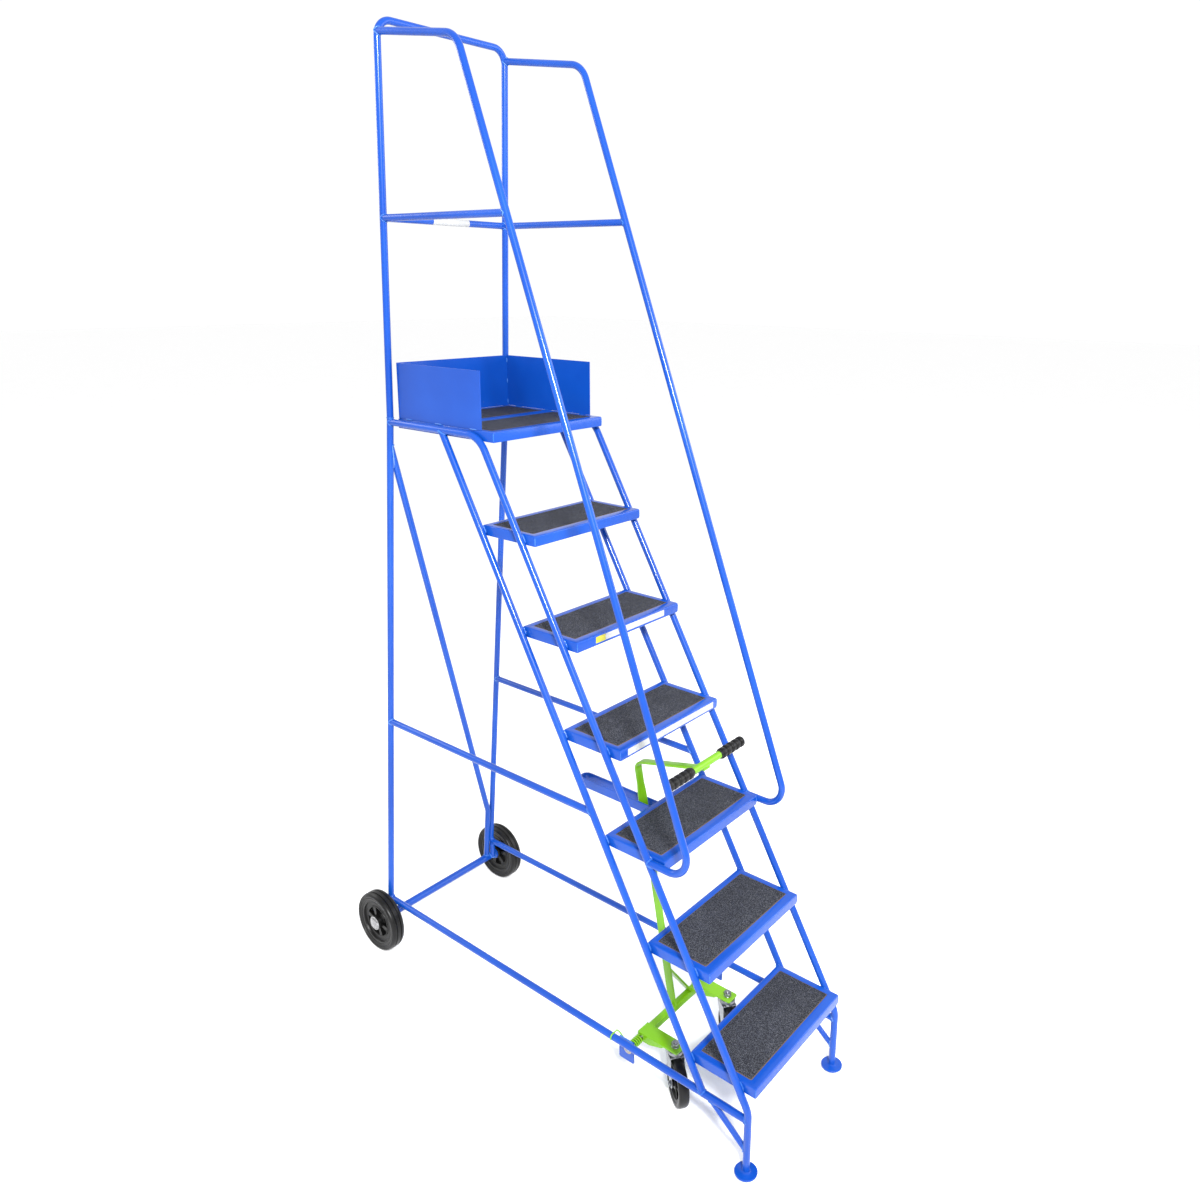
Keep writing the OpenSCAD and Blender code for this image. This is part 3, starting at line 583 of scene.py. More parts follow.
diag = [(-HALF_W + 2, back_y(DIAG_TOP_Z + 10), DIAG_TOP_Z + 10),
        (DIAG_LOW_X, back_y(DIAG_LOW_Z), DIAG_LOW_Z), (DIAG_LOW_X, back_y(WHEEL_R), WHEEL_R)]
tube("rear_diagonal_tube", fillet(diag, [0, 60, 0]), ["rear_diagonal_brace"])
slant = (Vector(diag[1]) - Vector(diag[0])).normalized()
saddle((-HALF_W, back_y(DIAG_TOP_Z), DIAG_TOP_Z), UP_DIR, TUBE_R, diag[0], slant, TUBE_R)
saddle(AXLE, X, AXLE_TUBE_R, diag[2], UP_DIR, TUBE_R)

# Axle tube with a welded flange at each end, and the bright rod through it
axle_end = WHEEL_X - WHEEL_W / 2 - 1
flange = [(10.2, 0), (19, 0), (19, 3.4), (18.4, 4), (14.5, 4.2), (AXLE_TUBE_R, 6.5)]
axle = Part().add(*lathe_shell(mirrored([(r, axle_end - d) for r, d in flange]), AXLE, X, 48))
axle.make("axle_tube_body", *FRAME_BLUE, ["axle_tube"])

pads = Part()
for s in SIGNS:
    pads.add(*lathe_shell([(0, 0), (28.2, 0), (29, 0.8), (29, 3.6), (28, 4.8), (26.5, 5), (13.5, 5),
                           (11, 6.2), (9.6, 8.5), (0, 8.5)], (s * HALF_W, LEG_Y, FOOT_GAP), Z, 64))
pads.make("foot_pad_discs", *FRAME_BLUE, ["foot_pads"])


# ---------------------------------------------------------------- treads and platform
SIDE_B, FRONT_B, REAR_B, GRIT_T = 18.0, 25.0, 18.0, 3.0
FOLD_R = 3.0


def ring_rect(x0, x1, y0, y1, r, z, n=5):
    """A rounded rectangle's points at height z, n per corner, always in the same order."""
    pts = []
    for cx, cy, a0 in ((x1 - r, y1 - r, 0), (x0 + r, y1 - r, 90),
                       (x0 + r, y0 + r, 180), (x1 - r, y0 + r, 270)):
        for k in range(n):
            a = math.radians(a0 + 90 * k / (n - 1))
            pts.append(Vector((cx + r * math.cos(a), cy + r * math.sin(a), z)))
    return pts


def box_rings(box, z0, rings):
    """Rings from a list of (inset from the box, corner radius, height above z0)."""
    x0, x1, y0, y1 = box
    return [ring_rect(x0 + i, x1 - i, y0 + i, y1 - i, r, z0 + z) for i, r, z in rings]


def pocket(y0, gap=0.0):
    """The box of the grit's pocket in the pan whose front edge is at y0."""
    x = TREAD_W / 2 - SIDE_B - gap
    return -x, x, y0 + FRONT_B + gap, y0 + TREAD_D - REAR_B - gap


def pan_shell(y0, z0):
    """Rings from the pocket's floor, over the folded edge and down the flange, then back up inside."""
    inner = [(1.2, 3.0, -GRIT_T), (0.6, 3.4, 0.3 - GRIT_T), (0.1, 3.8, -0.9),
             (-0.3, 4.2, -0.2), (-1.0, 4.9, 0)]
    fold = [(FOLD_R * (1 - math.sin(a)), 3.2, FOLD_R * (math.cos(a) - 1))
            for a in (math.radians(90 * k / 4) for k in range(5))]
    flange = [(0, 3.2, 0.4 - TREAD_H), (0.4, 2.8, -TREAD_H), (SHEET - 0.4, 1.6, -TREAD_H),
              (SHEET, 1.2, 0.4 - TREAD_H), (SHEET, 1.2, -SHEET - 0.6), (SHEET + 0.6, 1.2, -SHEET)]
    under = [(-2, 4.5, -SHEET), (-1.4, 4.5, -SHEET - GRIT_T)]
    outer_box = (-TREAD_W / 2, TREAD_W / 2, y0, y0 + TREAD_D)
    return loft_shell(box_rings(pocket(y0), z0, inner) + box_rings(outer_box, z0, fold + flange)
                      + box_rings(pocket(y0), z0, under))


def grit_shell(y0, z0):
    rings = [(0.9, 2.6, 0.1 - GRIT_T), (0, 3.4, 0.4 - GRIT_T), (0, 3.4, -0.7),
             (0.6, 3.0, -0.15), (1.7, 2.4, 0)]
    return loft_shell(box_rings(pocket(y0, 0.5), z0, rings))


def edge_line(obj, z0):
    """Shows the insert's brown backing all round its worn edge."""
    obj.data.materials.append(ADHESIVE)
    for p in obj.data.polygons:
        low = min(obj.data.vertices[i].co.z for i in p.vertices)
        p.material_index = 0 if low > (z0 - 0.05) / 1000 else 1


def touch_weld(s, y, z_mid, direction, reach):
    """Two short beads where a tube of the frame lies against a pan's side wall."""
    d = Vector(direction).normalized()
    n = Vector((0, d.z, -d.y))
    for off in (-5.6, 5.6):
        c = Vector((s * (TREAD_W / 2 + 1.0), y, z_mid)) + n * off
        bead([c - d * reach, c, c + d * reach], 2.1, wave=0.35)


def corner_seams(y0, z0):
    """The pan's flanges are welded at their corners."""
    for s in SIGNS:
        for y in (y0 + 0.9, y0 + TREAD_D - 0.9):
            x = s * (TREAD_W / 2 - 0.9)
            bead([(x, y, z0 - 3.5), (x, y, z0 - TREAD_H + 2)], 1.0, wave=0.5)


for y0, z0 in [(RUN * k, RISER * (k + 1)) for k in range(TREADS)] + [(DECK_FRONT, DECK_Z)]:
    corner_seams(y0, z0)
for i in range(1, TREADS + 1):
    y0, z0 = RUN * (i - 1), RISER * i
    Part().add(*pan_shell(y0, z0)).make(f"tread_{i}_pan", *FRAME_BLUE, [f"tread_{i}"], sharp=40)
    grit = Part().add(*grit_shell(y0, z0))
    edge_line(grit.make(f"tread_{i}_insert", GRIT, "frame", "grit", [f"tread_{i}_grit"], sharp=40), z0)
    for s in SIGNS:
        zm = z0 - TREAD_H / 2
        touch_weld(s, front_y(zm), zm, STAIR_DIR, 11)
        touch_weld(s, rear_y(zm), zm, STAIR_DIR, 11)
deck_grit = Part()
for k, name in enumerate(("platform_front_pan", "platform_rear_pan")):
    y0 = DECK_FRONT + k * TREAD_D
    Part().add(*pan_shell(y0, DECK_Z)).make(name + "_shell", *FRAME_BLUE, [name], sharp=40)
    deck_grit.add(*grit_shell(y0, DECK_Z))
edge_line(deck_grit.make("platform_inserts", GRIT, "frame", "grit", ["platform_grit"], sharp=40), DECK_Z)
for s in SIGNS:
    for ya, yb in ((915, 945), (1005, 1040), (1075, 1110), (1170, 1205)):
        z = DECK_TUBE_Z - 8.2
        bead([(s * (TREAD_W / 2 + 0.6), ya, z), (s * (TREAD_W / 2 + 0.6), yb, z)], 2.0, wave=0.3)

# ---------------------------------------------------------------- toe boards
TOE_H, TOE_FRONT, FOLD = 153.0, DECK_FRONT + 45, 8.0


def strip_shell(path, thick, z0, z1, edge=0.6):
    """A thin sheet standing on a 2-D centre line, with softened top and bottom edges."""
    path = [Vector(p) for p in path]
    sections = []
    for i, p in enumerate(path):
        a = path[max(0, i - 1)]
        b = path[min(len(path) - 1, i + 1)]
        t = (b - a).normalized()
        n = Vector((t.y, -t.x))
        h = thick / 2
        sec = []
        for off, z in ((-h, z0 + edge), (-h + edge, z0), (h - edge, z0), (h, z0 + edge),
                       (h, z1 - edge), (h - edge, z1), (-h + edge, z1), (-h, z1 - edge)):
            q = p + n * off
            sec.append(Vector((q.x, q.y, z)))
        sections.append(sec)
    return loft_shell(sections)


hx = TREAD_W / 2
corner = [(-hx + 1, TOE_FRONT)]
for a in map(math.radians, range(180, 89, -9)):
    corner.append((-hx + FOLD + (FOLD - 1) * math.cos(a), DECK_REAR - FOLD + (FOLD - 1) * math.sin(a)))
corner.append((hx, DECK_REAR - 1))
Part().add(*strip_shell(corner, SHEET, DECK_Z, DECK_Z + TOE_H)).make(
    "toe_board_corner_sheet", *FRAME_BLUE, ["toe_board_corner"], sharp=40)
side_line = [(hx - 1, TOE_FRONT), (hx - 1, DECK_REAR - 2.2)]
Part().add(*strip_shell(side_line, SHEET, DECK_Z, DECK_Z + TOE_H)).make(
    "toe_board_side_sheet", *FRAME_BLUE, ["toe_board_side"], sharp=40)
for z in (DECK_Z + 12, DECK_Z + 75, DECK_Z + 138):
    bead([(hx - 3.0, DECK_REAR - 3.0, z - 7), (hx - 3.0, DECK_REAR - 3.0, z + 7)], 1.7, wave=0.3)
for s in SIGNS:
    for y in (935, 1075, 1200):
        bead([(s * (hx - 0.2), y - 14, DECK_Z + 0.5), (s * (hx - 0.2), y + 14, DECK_Z + 0.5)], 1.8, wave=0.35)

# ---------------------------------------------------------------- lever guide
G_T, G_GAP, G_END = 5.0, 28.0, 745.0
gz0, gz1 = RISER * 3 - TREAD_H, RISER * 3
gy0 = RUN * 2 + TREAD_D
gr = G_GAP / 2 + G_T / 2
gc = G_END - gr - G_T / 2
guide = [(MID_X - gr, gy0), (MID_X - gr, gc)]
for a in map(math.radians, range(171, 0, -9)):
    guide.append((MID_X + gr * math.cos(a), gc + gr * math.sin(a)))
guide += [(MID_X + gr, gc), (MID_X + gr, gy0)]
Part().add(*strip_shell(guide, G_T, gz0, gz1, 1.0)).make(
    "lever_guide_strip", *FRAME_BLUE, ["lever_guide"], sharp=40)
for x in (MID_X - gr - 3.2, MID_X + gr + 3.2):
    bead([(x, gy0 + 0.8, gz0 + 3), (x, gy0 + 0.8, gz1 - 5)], 2.0, wave=0.3)

# ---------------------------------------------------------------- carriage pivots on the frame
BR_X = TREAD_W / 2 - 4
brk = Part()
bushes = Part()
for s in SIGNS:
    ya, yb, za, zb = PIVOT_Y - 19, PIVOT_Y + 31, 99, RAIL_Z + 5
    poly = outline([(ya, za), (yb, za), (yb, zb), (ya, zb)], [3, 5, 2, 2])
    brk.add(*plate_shell(poly, (s * BR_X if s > 0 else s * BR_X - 4, 0, 0), (0, 1, 0), (0, 0, 1), 4))
    profile = [(8.06, -1), (12, -1), (12, 4), (12.4, 4), (12.5, 5.6), (12.1, 6), (8.6, 6), (8.06, 5.5)]
    bushes.add(*lathe_shell(profile, (s * BR_X, PIVOT_Y, PIVOT_Z), (s, 0, 0), 48))
    bead([(s * (BR_X + 4.9), ya + 2, zb - 11), (s * (BR_X + 4.9), yb - 2, zb - 11)], 2.2, wave=0.3)
    bead([(s * (BR_X + 4.2), ya + 2, zb + 0.4), (s * (BR_X + 4.2), yb - 2, zb + 0.4)], 2.0, wave=0.3)
brk.make("pivot_bracket_plates", *FRAME_BLUE, ["pivot_brackets"], bevel=0.6)
bushes.make("pivot_bush_rings", BUSH, "frame", "zinc_steel", ["pivot_bushes"])

# Torsion springs: open coils on the pivot pins, each with one leg hooked over the rail
WIRE_R, COILS, COIL_R, COIL_PITCH, COIL_STEPS = 2.1, 6, 10.4, 6.9, 20
LEG_END_Y = PIVOT_Y + 44
springs = Part()
for s in SIGNS:
    x0 = s * (BR_X - 4.5)
    path = [Vector((s * (HALF_W + TUBE_R + 1.4), LEG_END_Y, RAIL_Z - 2)),
            Vector((s * (HALF_W + TUBE_R + 0.6), LEG_END_Y, RAIL_Z + 5)),
            Vector((s * (HALF_W + 6), LEG_END_Y, RAIL_Z + TUBE_R + 0.4)),
            Vector((s * (HALF_W - 1), LEG_END_Y, RAIL_Z + TUBE_R + 1.2)),
            Vector((s * (BR_X - 2), LEG_END_Y, RAIL_Z + TUBE_R + 1.2)),
            Vector((s * (BR_X - 5.6), PIVOT_Y + 38, RAIL_Z + TUBE_R - 4)),
            Vector((x0, PIVOT_Y + 16, PIVOT_Z + COIL_R + 3))]
    for k in range(COILS * COIL_STEPS + 1):
        a = math.radians(90) + 2 * math.pi * k / COIL_STEPS
        path.append(Vector((x0 - s * k / COIL_STEPS * COIL_PITCH, PIVOT_Y + COIL_R * math.cos(a),
                            PIVOT_Z + COIL_R * math.sin(a))))
    springs.add(*tube_shell(path, WIRE_R, 10))
springs.make("return_spring_coils", GREEN, "frame", "green_paint", ["return_springs"], sharp=60)

# ---------------------------------------------------------------- castor carriage
CAR = "castor_carriage"
CARRIAGE_GREEN = (GREEN, CAR, "green_paint")
BAR = 20.0
bl, brx = MID_X - ARM_X - 18, MID_X + ARM_X + 18
reach = BR_X + 8
sq = outline([(-BAR / 2, -BAR / 2), (BAR / 2, -BAR / 2), (BAR / 2, BAR / 2), (-BAR / 2, BAR / 2)], 2.0)
bar = Part().add(*plate_shell(sq, (bl, PIVOT_Y, PIVOT_Z), (0, 1, 0), (0, 0, 1), brx - bl))
bar.make("carriage_square_bar", *CARRIAGE_GREEN, ["carriage_cross_bar"], bevel=0.5)
pins = Part()
for s, end in ((-1, bl), (1, brx)):
    length = reach - abs(end)
    pins.add(*lathe_shell([(0, 0), (8, 0), (8, length - 0.8), (7.2, length), (0, length)],
                          (end, PIVOT_Y, PIVOT_Z), (s, 0, 0), 40))
pins.make("carriage_pivot_pins", STEEL, CAR, "zinc_steel", [])

ARM_W, ARM_T, ARM_TOP, ARM_FRONT, ARM_REAR = 42.0, 5.0, 152.0, 280.0, PIVOT_Y + 11
for s, w in SIDES:
    cx = MID_X + s * ARM_X
    a = Part()
    top = outline([(-ARM_W / 2, ARM_FRONT), (ARM_W / 2, ARM_FRONT),
                   (ARM_W / 2, ARM_REAR), (-ARM_W / 2, ARM_REAR)], [5, 5, 1.5, 1.5])
    a.add(*plate_shell(top, (cx, 0, ARM_TOP - ARM_T), X, Y, ARM_T))
    lower = [(ARM_REAR, ARM_TOP - 0.5), (ARM_REAR, PIVOT_Z - BAR / 2),
             (ARM_REAR - 2 * BAR, PIVOT_Z - BAR / 2), (ARM_FRONT + 52, ARM_TOP - 11),
             (ARM_FRONT + 44, ARM_TOP - 4.6), (ARM_FRONT + 44, ARM_TOP - 0.5)]
    poly = outline(lower, [1, 3, 6, 3, 1, 1])
    for x in (-ARM_W / 2 - 0.4, ARM_W / 2 - 3):
        a.add(*plate_shell(poly, (cx + x, 0, 0), (0, 1, 0), (0, 0, 1), 3.4))
    a.make(f"{w}_castor_arm_plate", *CARRIAGE_GREEN, [f"{w}_castor_arm"], bevel=0.9)

nuts = Part()

def hex_nut_shell(centre, axis, flat, height, bore=6.0):
    """A hexagon nut with chamfered corners and its bore."""
    c, ax = Vector(centre), Vector(axis).normalized()
    e1 = Z if abs(ax.z) < 0.9 else X
    e1 = (e1 - ax * e1.dot(ax)).normalized()
    e2 = ax.cross(e1)
    turns = [2 * math.pi * k / 48 for k in range(48)]
    around = [e1 * math.cos(t) + e2 * math.sin(t) for t in turns]
    rings = []
    for h, cap in ((0, 0.985), (0.8, 1.06), (height - 1.1, 1.06), (height, 0.97)):
        radii = [min(flat / 2 / math.cos(t % (math.pi / 3) - math.pi / 6), flat / 2 * cap * 1.09)
                 for t in turns]
        rings.append([c + ax * h + e * r for e, r in zip(around, radii)])
    for h in (height, 0):
        rings.append([c + ax * h + e * bore for e in around])
    n, m = len(turns), len(rings)
    verts = [p for ring in rings for p in ring]
    faces = [(i * n + k, i * n + (k + 1) % n, (i + 1) % m * n + (k + 1) % n, (i + 1) % m * n + k)
             for i in range(m) for k in range(n)]
    return verts, faces


for s in SIGNS:
    cx = MID_X + s * ARM_X
    washer = [(6.2, 0), (11, 0), (11, 1.6), (10.6, 2), (6.2, 2)]
    nuts.add(*lathe_shell(washer, (cx, CASTOR_Y, ARM_TOP), Z, 40))
    nuts.add(*hex_nut_shell((cx, CASTOR_Y, ARM_TOP + 2), (0, 0, 1), 19, 9))
nuts.make("castor_nut_set", ZINC, CAR, "zinc_steel", ["castor_nuts"], sharp=30)

# Lever: flat bar with a quarter twist, bent over at the top
TILT = math.radians(10.7)
RISE = math.radians(13.7)
L_W, L_T, L_LEN, TW0, TWL, L_BEND = 25.0, 6.0, 735.0, 560.0, 110.0, 22.0
HANDLE_Y = 310.0
base = Vector((MID_X, PIVOT_Y, PIVOT_Z))
up = Vector((0, math.sin(TILT), math.cos(TILT)))
top_dir = Vector((0, -math.cos(RISE), math.sin(RISE)))
turn = up.angle(top_dir)
t_in = L_BEND * math.tan(turn / 2)
vertex = base + up * L_LEN
top_len = (vertex.y - HANDLE_Y) / math.cos(RISE) + 8


def bar_section(c, t, wide, width, thick, r=1.2):
    """A rounded rectangle across the tangent t, its wide side along 'wide'."""
    t = t.normalized()
    wide = (wide - t * wide.dot(t)).normalized()
    thin = t.cross(wide)
    pts = []
    for sx, sy, a0 in ((1, 1, 0), (-1, 1, 90), (-1, -1, 180), (1, -1, 270)):
        for k in range(4):
            a = math.radians(a0 + 30 * k)
            pts.append(c + wide * (sx * (width / 2 - r) + r * math.cos(a))
                       + thin * (sy * (thick / 2 - r) + r * math.sin(a)))
    return pts


secs = []
side_dir = X.cross(up)
for h in (9.0, 60, 200, 350, 480, TW0):
    secs.append(bar_section(base + up * h, up, side_dir, L_W, L_T))
for k in range(1, 25):
    f = k / 24
    th = math.radians(90) * f
    wide = side_dir * math.cos(th) + X * math.sin(th)
    secs.append(bar_section(base + up * (TW0 + TWL * f), up, wide, L_W, L_T))
inner = (top_dir - up * top_dir.dot(up)).normalized()
centre = vertex - up * t_in + inner * L_BEND
for k in range(0, 17):
    th = turn * k / 16
    p = centre - inner * L_BEND * math.cos(th) + up * L_BEND * math.sin(th)
    t = up * math.cos(th) + inner * math.sin(th)
    secs.append(bar_section(p, t, X, L_W, L_T))
for h in (t_in + 30, t_in + 100, top_len - 12, top_len - 3):
    secs.append(bar_section(vertex + top_dir * h, top_dir, X, L_W, L_T))
Part().add(*loft_shell(secs)).make("lever_bar_flat", *CARRIAGE_GREEN, ["lever_bar"], sharp=40)

handle_z = (PIVOT_Z + L_LEN * math.cos(TILT) + (PIVOT_Y + L_LEN * math.sin(TILT) - HANDLE_Y) * math.tan(RISE)
            + (20 + L_T) / 2 / math.cos(RISE))
H_LEN = 318.0
tube_prof = [(8, -H_LEN / 2), (10, -H_LEN / 2), (10, H_LEN / 2), (8, H_LEN / 2)]
Part().add(*lathe_shell(tube_prof, (MID_X, HANDLE_Y, handle_z), X, 40)).make(
    "handle_cross_tube", *CARRIAGE_GREEN, ["handle_tube"])
grips = Part()
for s in SIGNS:
    prof = [(10.03, 103), (10.03, 3), (0, 3), (0, 0), (11.5, 0), (13.6, 0.8), (14.5, 2.6)]
    pitch = 103 / 5
    for k in range(5):
        a, b = pitch * k, pitch * (k + 1)
        rib = b - pitch * 0.38
        if k:
            prof += [(13.9, a + 0.4), (14.5, a + 1.4)]
        prof += [(14.5, rib - 1.2), (13.9, rib - 0.3), (12.2, rib + 0.3)]
        if k < 4:
            prof += [(11.6, rib + 0.8), (11.6, b - 0.7), (12.2, b - 0.2)]
    prof += [(11.9, 100), (11.6, 102.4), (11.0, 103)]
    grips.add(*lathe_shell(prof, (MID_X + s * (H_LEN / 2 + 3), HANDLE_Y, handle_z), (-s, 0, 0), 56))
grips.make("handle_grip_pair", GRIP, CAR, "grip_rubber", ["handle_grips"], sharp=45)

foot_x, rise = 78.0, 112.0
f = base + Vector((foot_x, 0, BAR / 2 - 2))
g = base + Vector((0, rise * math.sin(TILT), BAR / 2 + rise * math.cos(TILT)))
d = (g - f).normalized()
ends = [bar_section(p, d, Y, L_W, L_T) for p in (f, g - d)]
Part().add(*loft_shell(ends)).make("lever_strut_flat", *CARRIAGE_GREEN, ["lever_strut"], sharp=40)

# Green welds of the carriage
blue_welds = WELDS
WELDS = Part()
for x in (-L_T / 2 - 0.8, L_T / 2 + 0.8):
    bead([(MID_X + x, PIVOT_Y + y, PIVOT_Z + BAR / 2 + 0.4) for y in (-9, 9)], 2.2, wave=0.3)
bead([tuple(f + Vector((5.0, -9, 2.4))), tuple(f + Vector((5.0, 9, 2.4)))], 2.1, wave=0.3)
bead([tuple(g + Vector((3.4, -11, -6))), tuple(g + Vector((3.4, 11, -6)))], 2.0, wave=0.3)
for s in SIGNS:
    cx = MID_X + s * ARM_X
    for e in (-1, 1):
        bead([(cx + e * x, ARM_REAR + 0.6, ARM_TOP - 5.4) for x in (19, 6)], 1.9, wave=0.3)
for e in (-1, 1):
    bead([(MID_X + e * x, HANDLE_Y + 9.6, handle_z - 6) for x in (2, 12)], 1.9, wave=0.3)
WELDS.make("carriage_weld_beads", *CARRIAGE_GREEN, [], sharp=60)
WELDS = blue_welds
# The frame's beads take the lighter copy of the blue, whose extra lightness is painted highlight
WELDS.make("frame_weld_beads", WELD_PAINTED_HIGHLIGHT, "frame", "blue_paint", [], sharp=60)


# ---------------------------------------------------------------- castors
def turned(cx, p):
    """A point drawn with the swivel axis at the origin, turned and moved into place."""
    c, s = math.cos(CASTOR_TURN), math.sin(CASTOR_TURN)
    return Vector((cx + c * p[0] - s * p[1], CASTOR_Y + s * p[0] + c * p[1], p[2]))


C_GAP, C_T, CROWN_Z = CASTOR_W + 6, 2.5, 2 * CASTOR_R + 4
FORK_TOP = ARM_TOP - ARM_T
for s, w in SIDES:
    cx = MID_X + s * ARM_X
    u = turned(cx, (1, 0, 0)) - turned(cx, (0, 0, 0))
    v = turned(cx, (0, 1, 0)) - turned(cx, (0, 0, 0))
    o = turned(cx, (0, 0, 0))
    fork = Part()
    cheek = outline([(-TRAIL - 12.5, CASTOR_R - 3), (-TRAIL - 6, CASTOR_R - 12.5),
                     (-TRAIL + 6, CASTOR_R - 12.5),
                     (-TRAIL + 12.8, CASTOR_R - 3), (24, CROWN_Z - 6), (24, CROWN_Z + 2), (-20, CROWN_Z + 2),
                     (-21, CROWN_Z - 4)], [7, 7, 7, 10, 4, 1, 1, 4])
    for x in (-C_GAP / 2 - C_T, C_GAP / 2):
        fork.add(*plate_shell(cheek, o + u * x, v, (0, 0, 1), C_T))
    half = C_GAP / 2 + C_T
    crown = outline([(-half, -20), (half, -20), (half, 24), (-half, 24)], 3)
    fork.add(*plate_shell(crown, o + Vector((0, 0, CROWN_Z)), u, v, 3))
    fork.make(f"{w}_castor_fork_plates", ZINC, f"{w}_castor_swivel_body", "zinc_steel",
              [f"{w}_castor_fork"], bevel=0.7)
    race = Part()
    top = FORK_TOP - CROWN_Z
    race.add(*lathe_shell([(0, 3), (19, 3), (19, 5), (20.5, 6), (21, 7.2), (20, 8), (22.2, 8.4), (23, 9.6),
                           (23, top - 1.6), (22, top - 0.3), (0, top - 0.3)], (o.x, o.y, CROWN_Z), Z, 64))
    race.add(*lathe_shell([(0, top - 1), (5.95, top - 1), (5.95, top + 20), (5.2, top + 21), (0, top + 21)],
                          (o.x, o.y, CROWN_Z), Z, 32))
    race.make(f"{w}_castor_race", ZINC, f"{w}_castor_swivel_body", "zinc_steel", [])
    hub = turned(cx, (0, -TRAIL, CASTOR_R))
    bolt = Part()
    bolt.add(*lathe_shell([(0, -half - 4), (3.95, -half - 4), (3.95, half + 5), (0, half + 5)], hub, u, 32))
    for e in (-1, 1):
        washer = [(4.0, 0), (8.5, 0), (8.5, 0.9), (8.2, 1.1), (4.0, 1.1)]
        bolt.add(*lathe_shell(washer, hub + u * e * half, u * e, 32))
        bolt.add(*hex_nut_shell(hub + u * e * (half + 1.1), u * e, 13, 4.8, bore=3.9))
    bolt.make(f"{w}_castor_axle_bolt", ZINC, f"{w}_castor_swivel_body", "zinc_steel",
              [f"{w}_castor_axle"], sharp=30)
    h = CASTOR_W / 2
    side_prof = [(46.5, 3), (49, 2.6), (50, 1.2), (52, 0.6), (56, 0.3), (58.5, 1.2), (60.6, 3.0), (61.9, 5.4),
                 (62.4, 9)]
    tyre_prof = mirrored([(r, h - d) for r, d in side_prof], [(CASTOR_R, 0)])
    Part().add(*lathe_shell(tyre_prof, hub, u, 96)).make(
        f"{w}_castor_tyre_ring", TYRE, f"{w}_castor_wheel_body", "wheel_rubber",
        [f"{w}_castor_tyre"], sharp=50)
    k = h - 3
    hub_prof = mirrored([(4.05, h + 2), (8, h + 2), (8.6, h + 1.6), (9, k), (15, k), (16, k - 1), (17, 4.2),
                         (39, 4.0), (41, k - 1.5), (42, k), (46.4, k)])
    wheel = Part().add(*lathe_shell(hub_prof, hub, u, 96))
    e2 = Vector((0, 0, 1))
    e1 = u.cross(e2)
    for j in range(6):
        a = math.radians(60 * j)
        rad = e1 * math.cos(a) + e2 * math.sin(a)
        tan = u.cross(rad)
        rib = [(15, -2), (40.5, -1.6), (40.5, 1.6), (15, 2)]
        wheel.add(*plate_shell(rib, hub - u * (k - 3), rad, tan, 2 * (k - 3)))
    wheel.make(f"{w}_castor_hub_wheel", PLASTIC, f"{w}_castor_wheel_body", "black_plastic",
               [f"{w}_castor_hub"], sharp=35)

# ---------------------------------------------------------------- rear wheels
for s, w in SIDES:
    c = Vector((s * WHEEL_X, AXLE_Y, WHEEL_R))
    ax = Vector((s, 0, 0))
    h = WHEEL_W / 2
    side_prof = [(73.2, 4.5), (76, 3.0), (79, 2.3), (81.2, 2.0), (81.8, 2.9), (82.6, 2.9), (83.2, 1.7),
                 (87.6, 0.6), (88.2, 1.4), (88.9, 1.4), (89.4, 0.6), (91.5, 1.0), (93.6, 2.6), (95.2, 5.0),
                 (96.4, 8.6), (96.9, 12.0)]
    groove = [(97, 9.2), (94.2, 9.0), (94.2, 6.0), (97, 5.8)]
    prof = mirrored([(r, h - d) for r, d in side_prof] + groove)
    Part().add(*lathe_shell(prof, c, ax, 144)).make(
        f"{w}_rear_tyre_ring", TYRE, f"{w}_rear_wheel_body", "wheel_rubber", [f"{w}_rear_tyre"], sharp=45)
    k = h - 4
    face = [(18, h), (20, h - 1), (22, h - 3), (23.5, 6), (25, 4.4), (46, 4.2), (47.5, 5.5), (48.5, k - 6),
            (50, k - 4.6), (52.5, k - 4.6), (53.5, k - 6.2), (63, k - 6.8), (65.5, k - 5.6), (66.5, k - 1.2),
            (67.4, k), (71.2, k), (73.1, k - 0.6)]
    rim_prof = mirrored([(10.06, h)] + face)
    rim = Part().add(*lathe_shell(rim_prof, c, ax, 128))
    e2 = Vector((0, 0, 1))
    e1 = ax.cross(e2)
    for j in range(6):
        a = math.radians(60 * j + 12)
        rad = e1 * math.cos(a) + e2 * math.sin(a)
        tan = ax.cross(rad)
        rib = outline([(21, -5.2), (48, -7.5), (48, 7.5), (21, 5.2)], 1.0)
        rim.add(*plate_shell(rib, c - ax * (h - 9), rad, tan, 2 * (h - 9)))
    rim.make(f"{w}_rear_rim_body", PLASTIC, f"{w}_rear_wheel_body", "black_plastic",
             [f"{w}_rear_rim"], sharp=35)

caps = Part()
for s in SIGNS:
    c = Vector((s * (WHEEL_X + WHEEL_W / 2 + 1), AXLE_Y, WHEEL_R))
    profile = [(10, 0), (22.4, 0), (22.8, 0.5), (22.8, 1.6), (22.2, 2.2), (19.6, 2.5), (18.8, 3.4),
               (16.9, 5.3), (13.4, 6.9), (8, 7.8), (0, 8.0), (0, 4), (10, 4)]
    caps.add(*lathe_shell(profile, c, (s, 0, 0), 64))
caps.make("wheel_cap_pair", STEEL, "frame", "zinc_steel", ["wheel_caps"])

# ---------------------------------------------------------------- blank labels
labels_w, labels_y = Part(), Part()


def front_label(part, x0, x1, z0, z1, y):
    poly = outline([(x0, z0), (x1, z0), (x1, z1), (x0, z1)], 1.2)
    part.add(*plate_shell(poly, (0, y + 0.02, 0), (1, 0, 0), (0, 0, 1), 0.28))


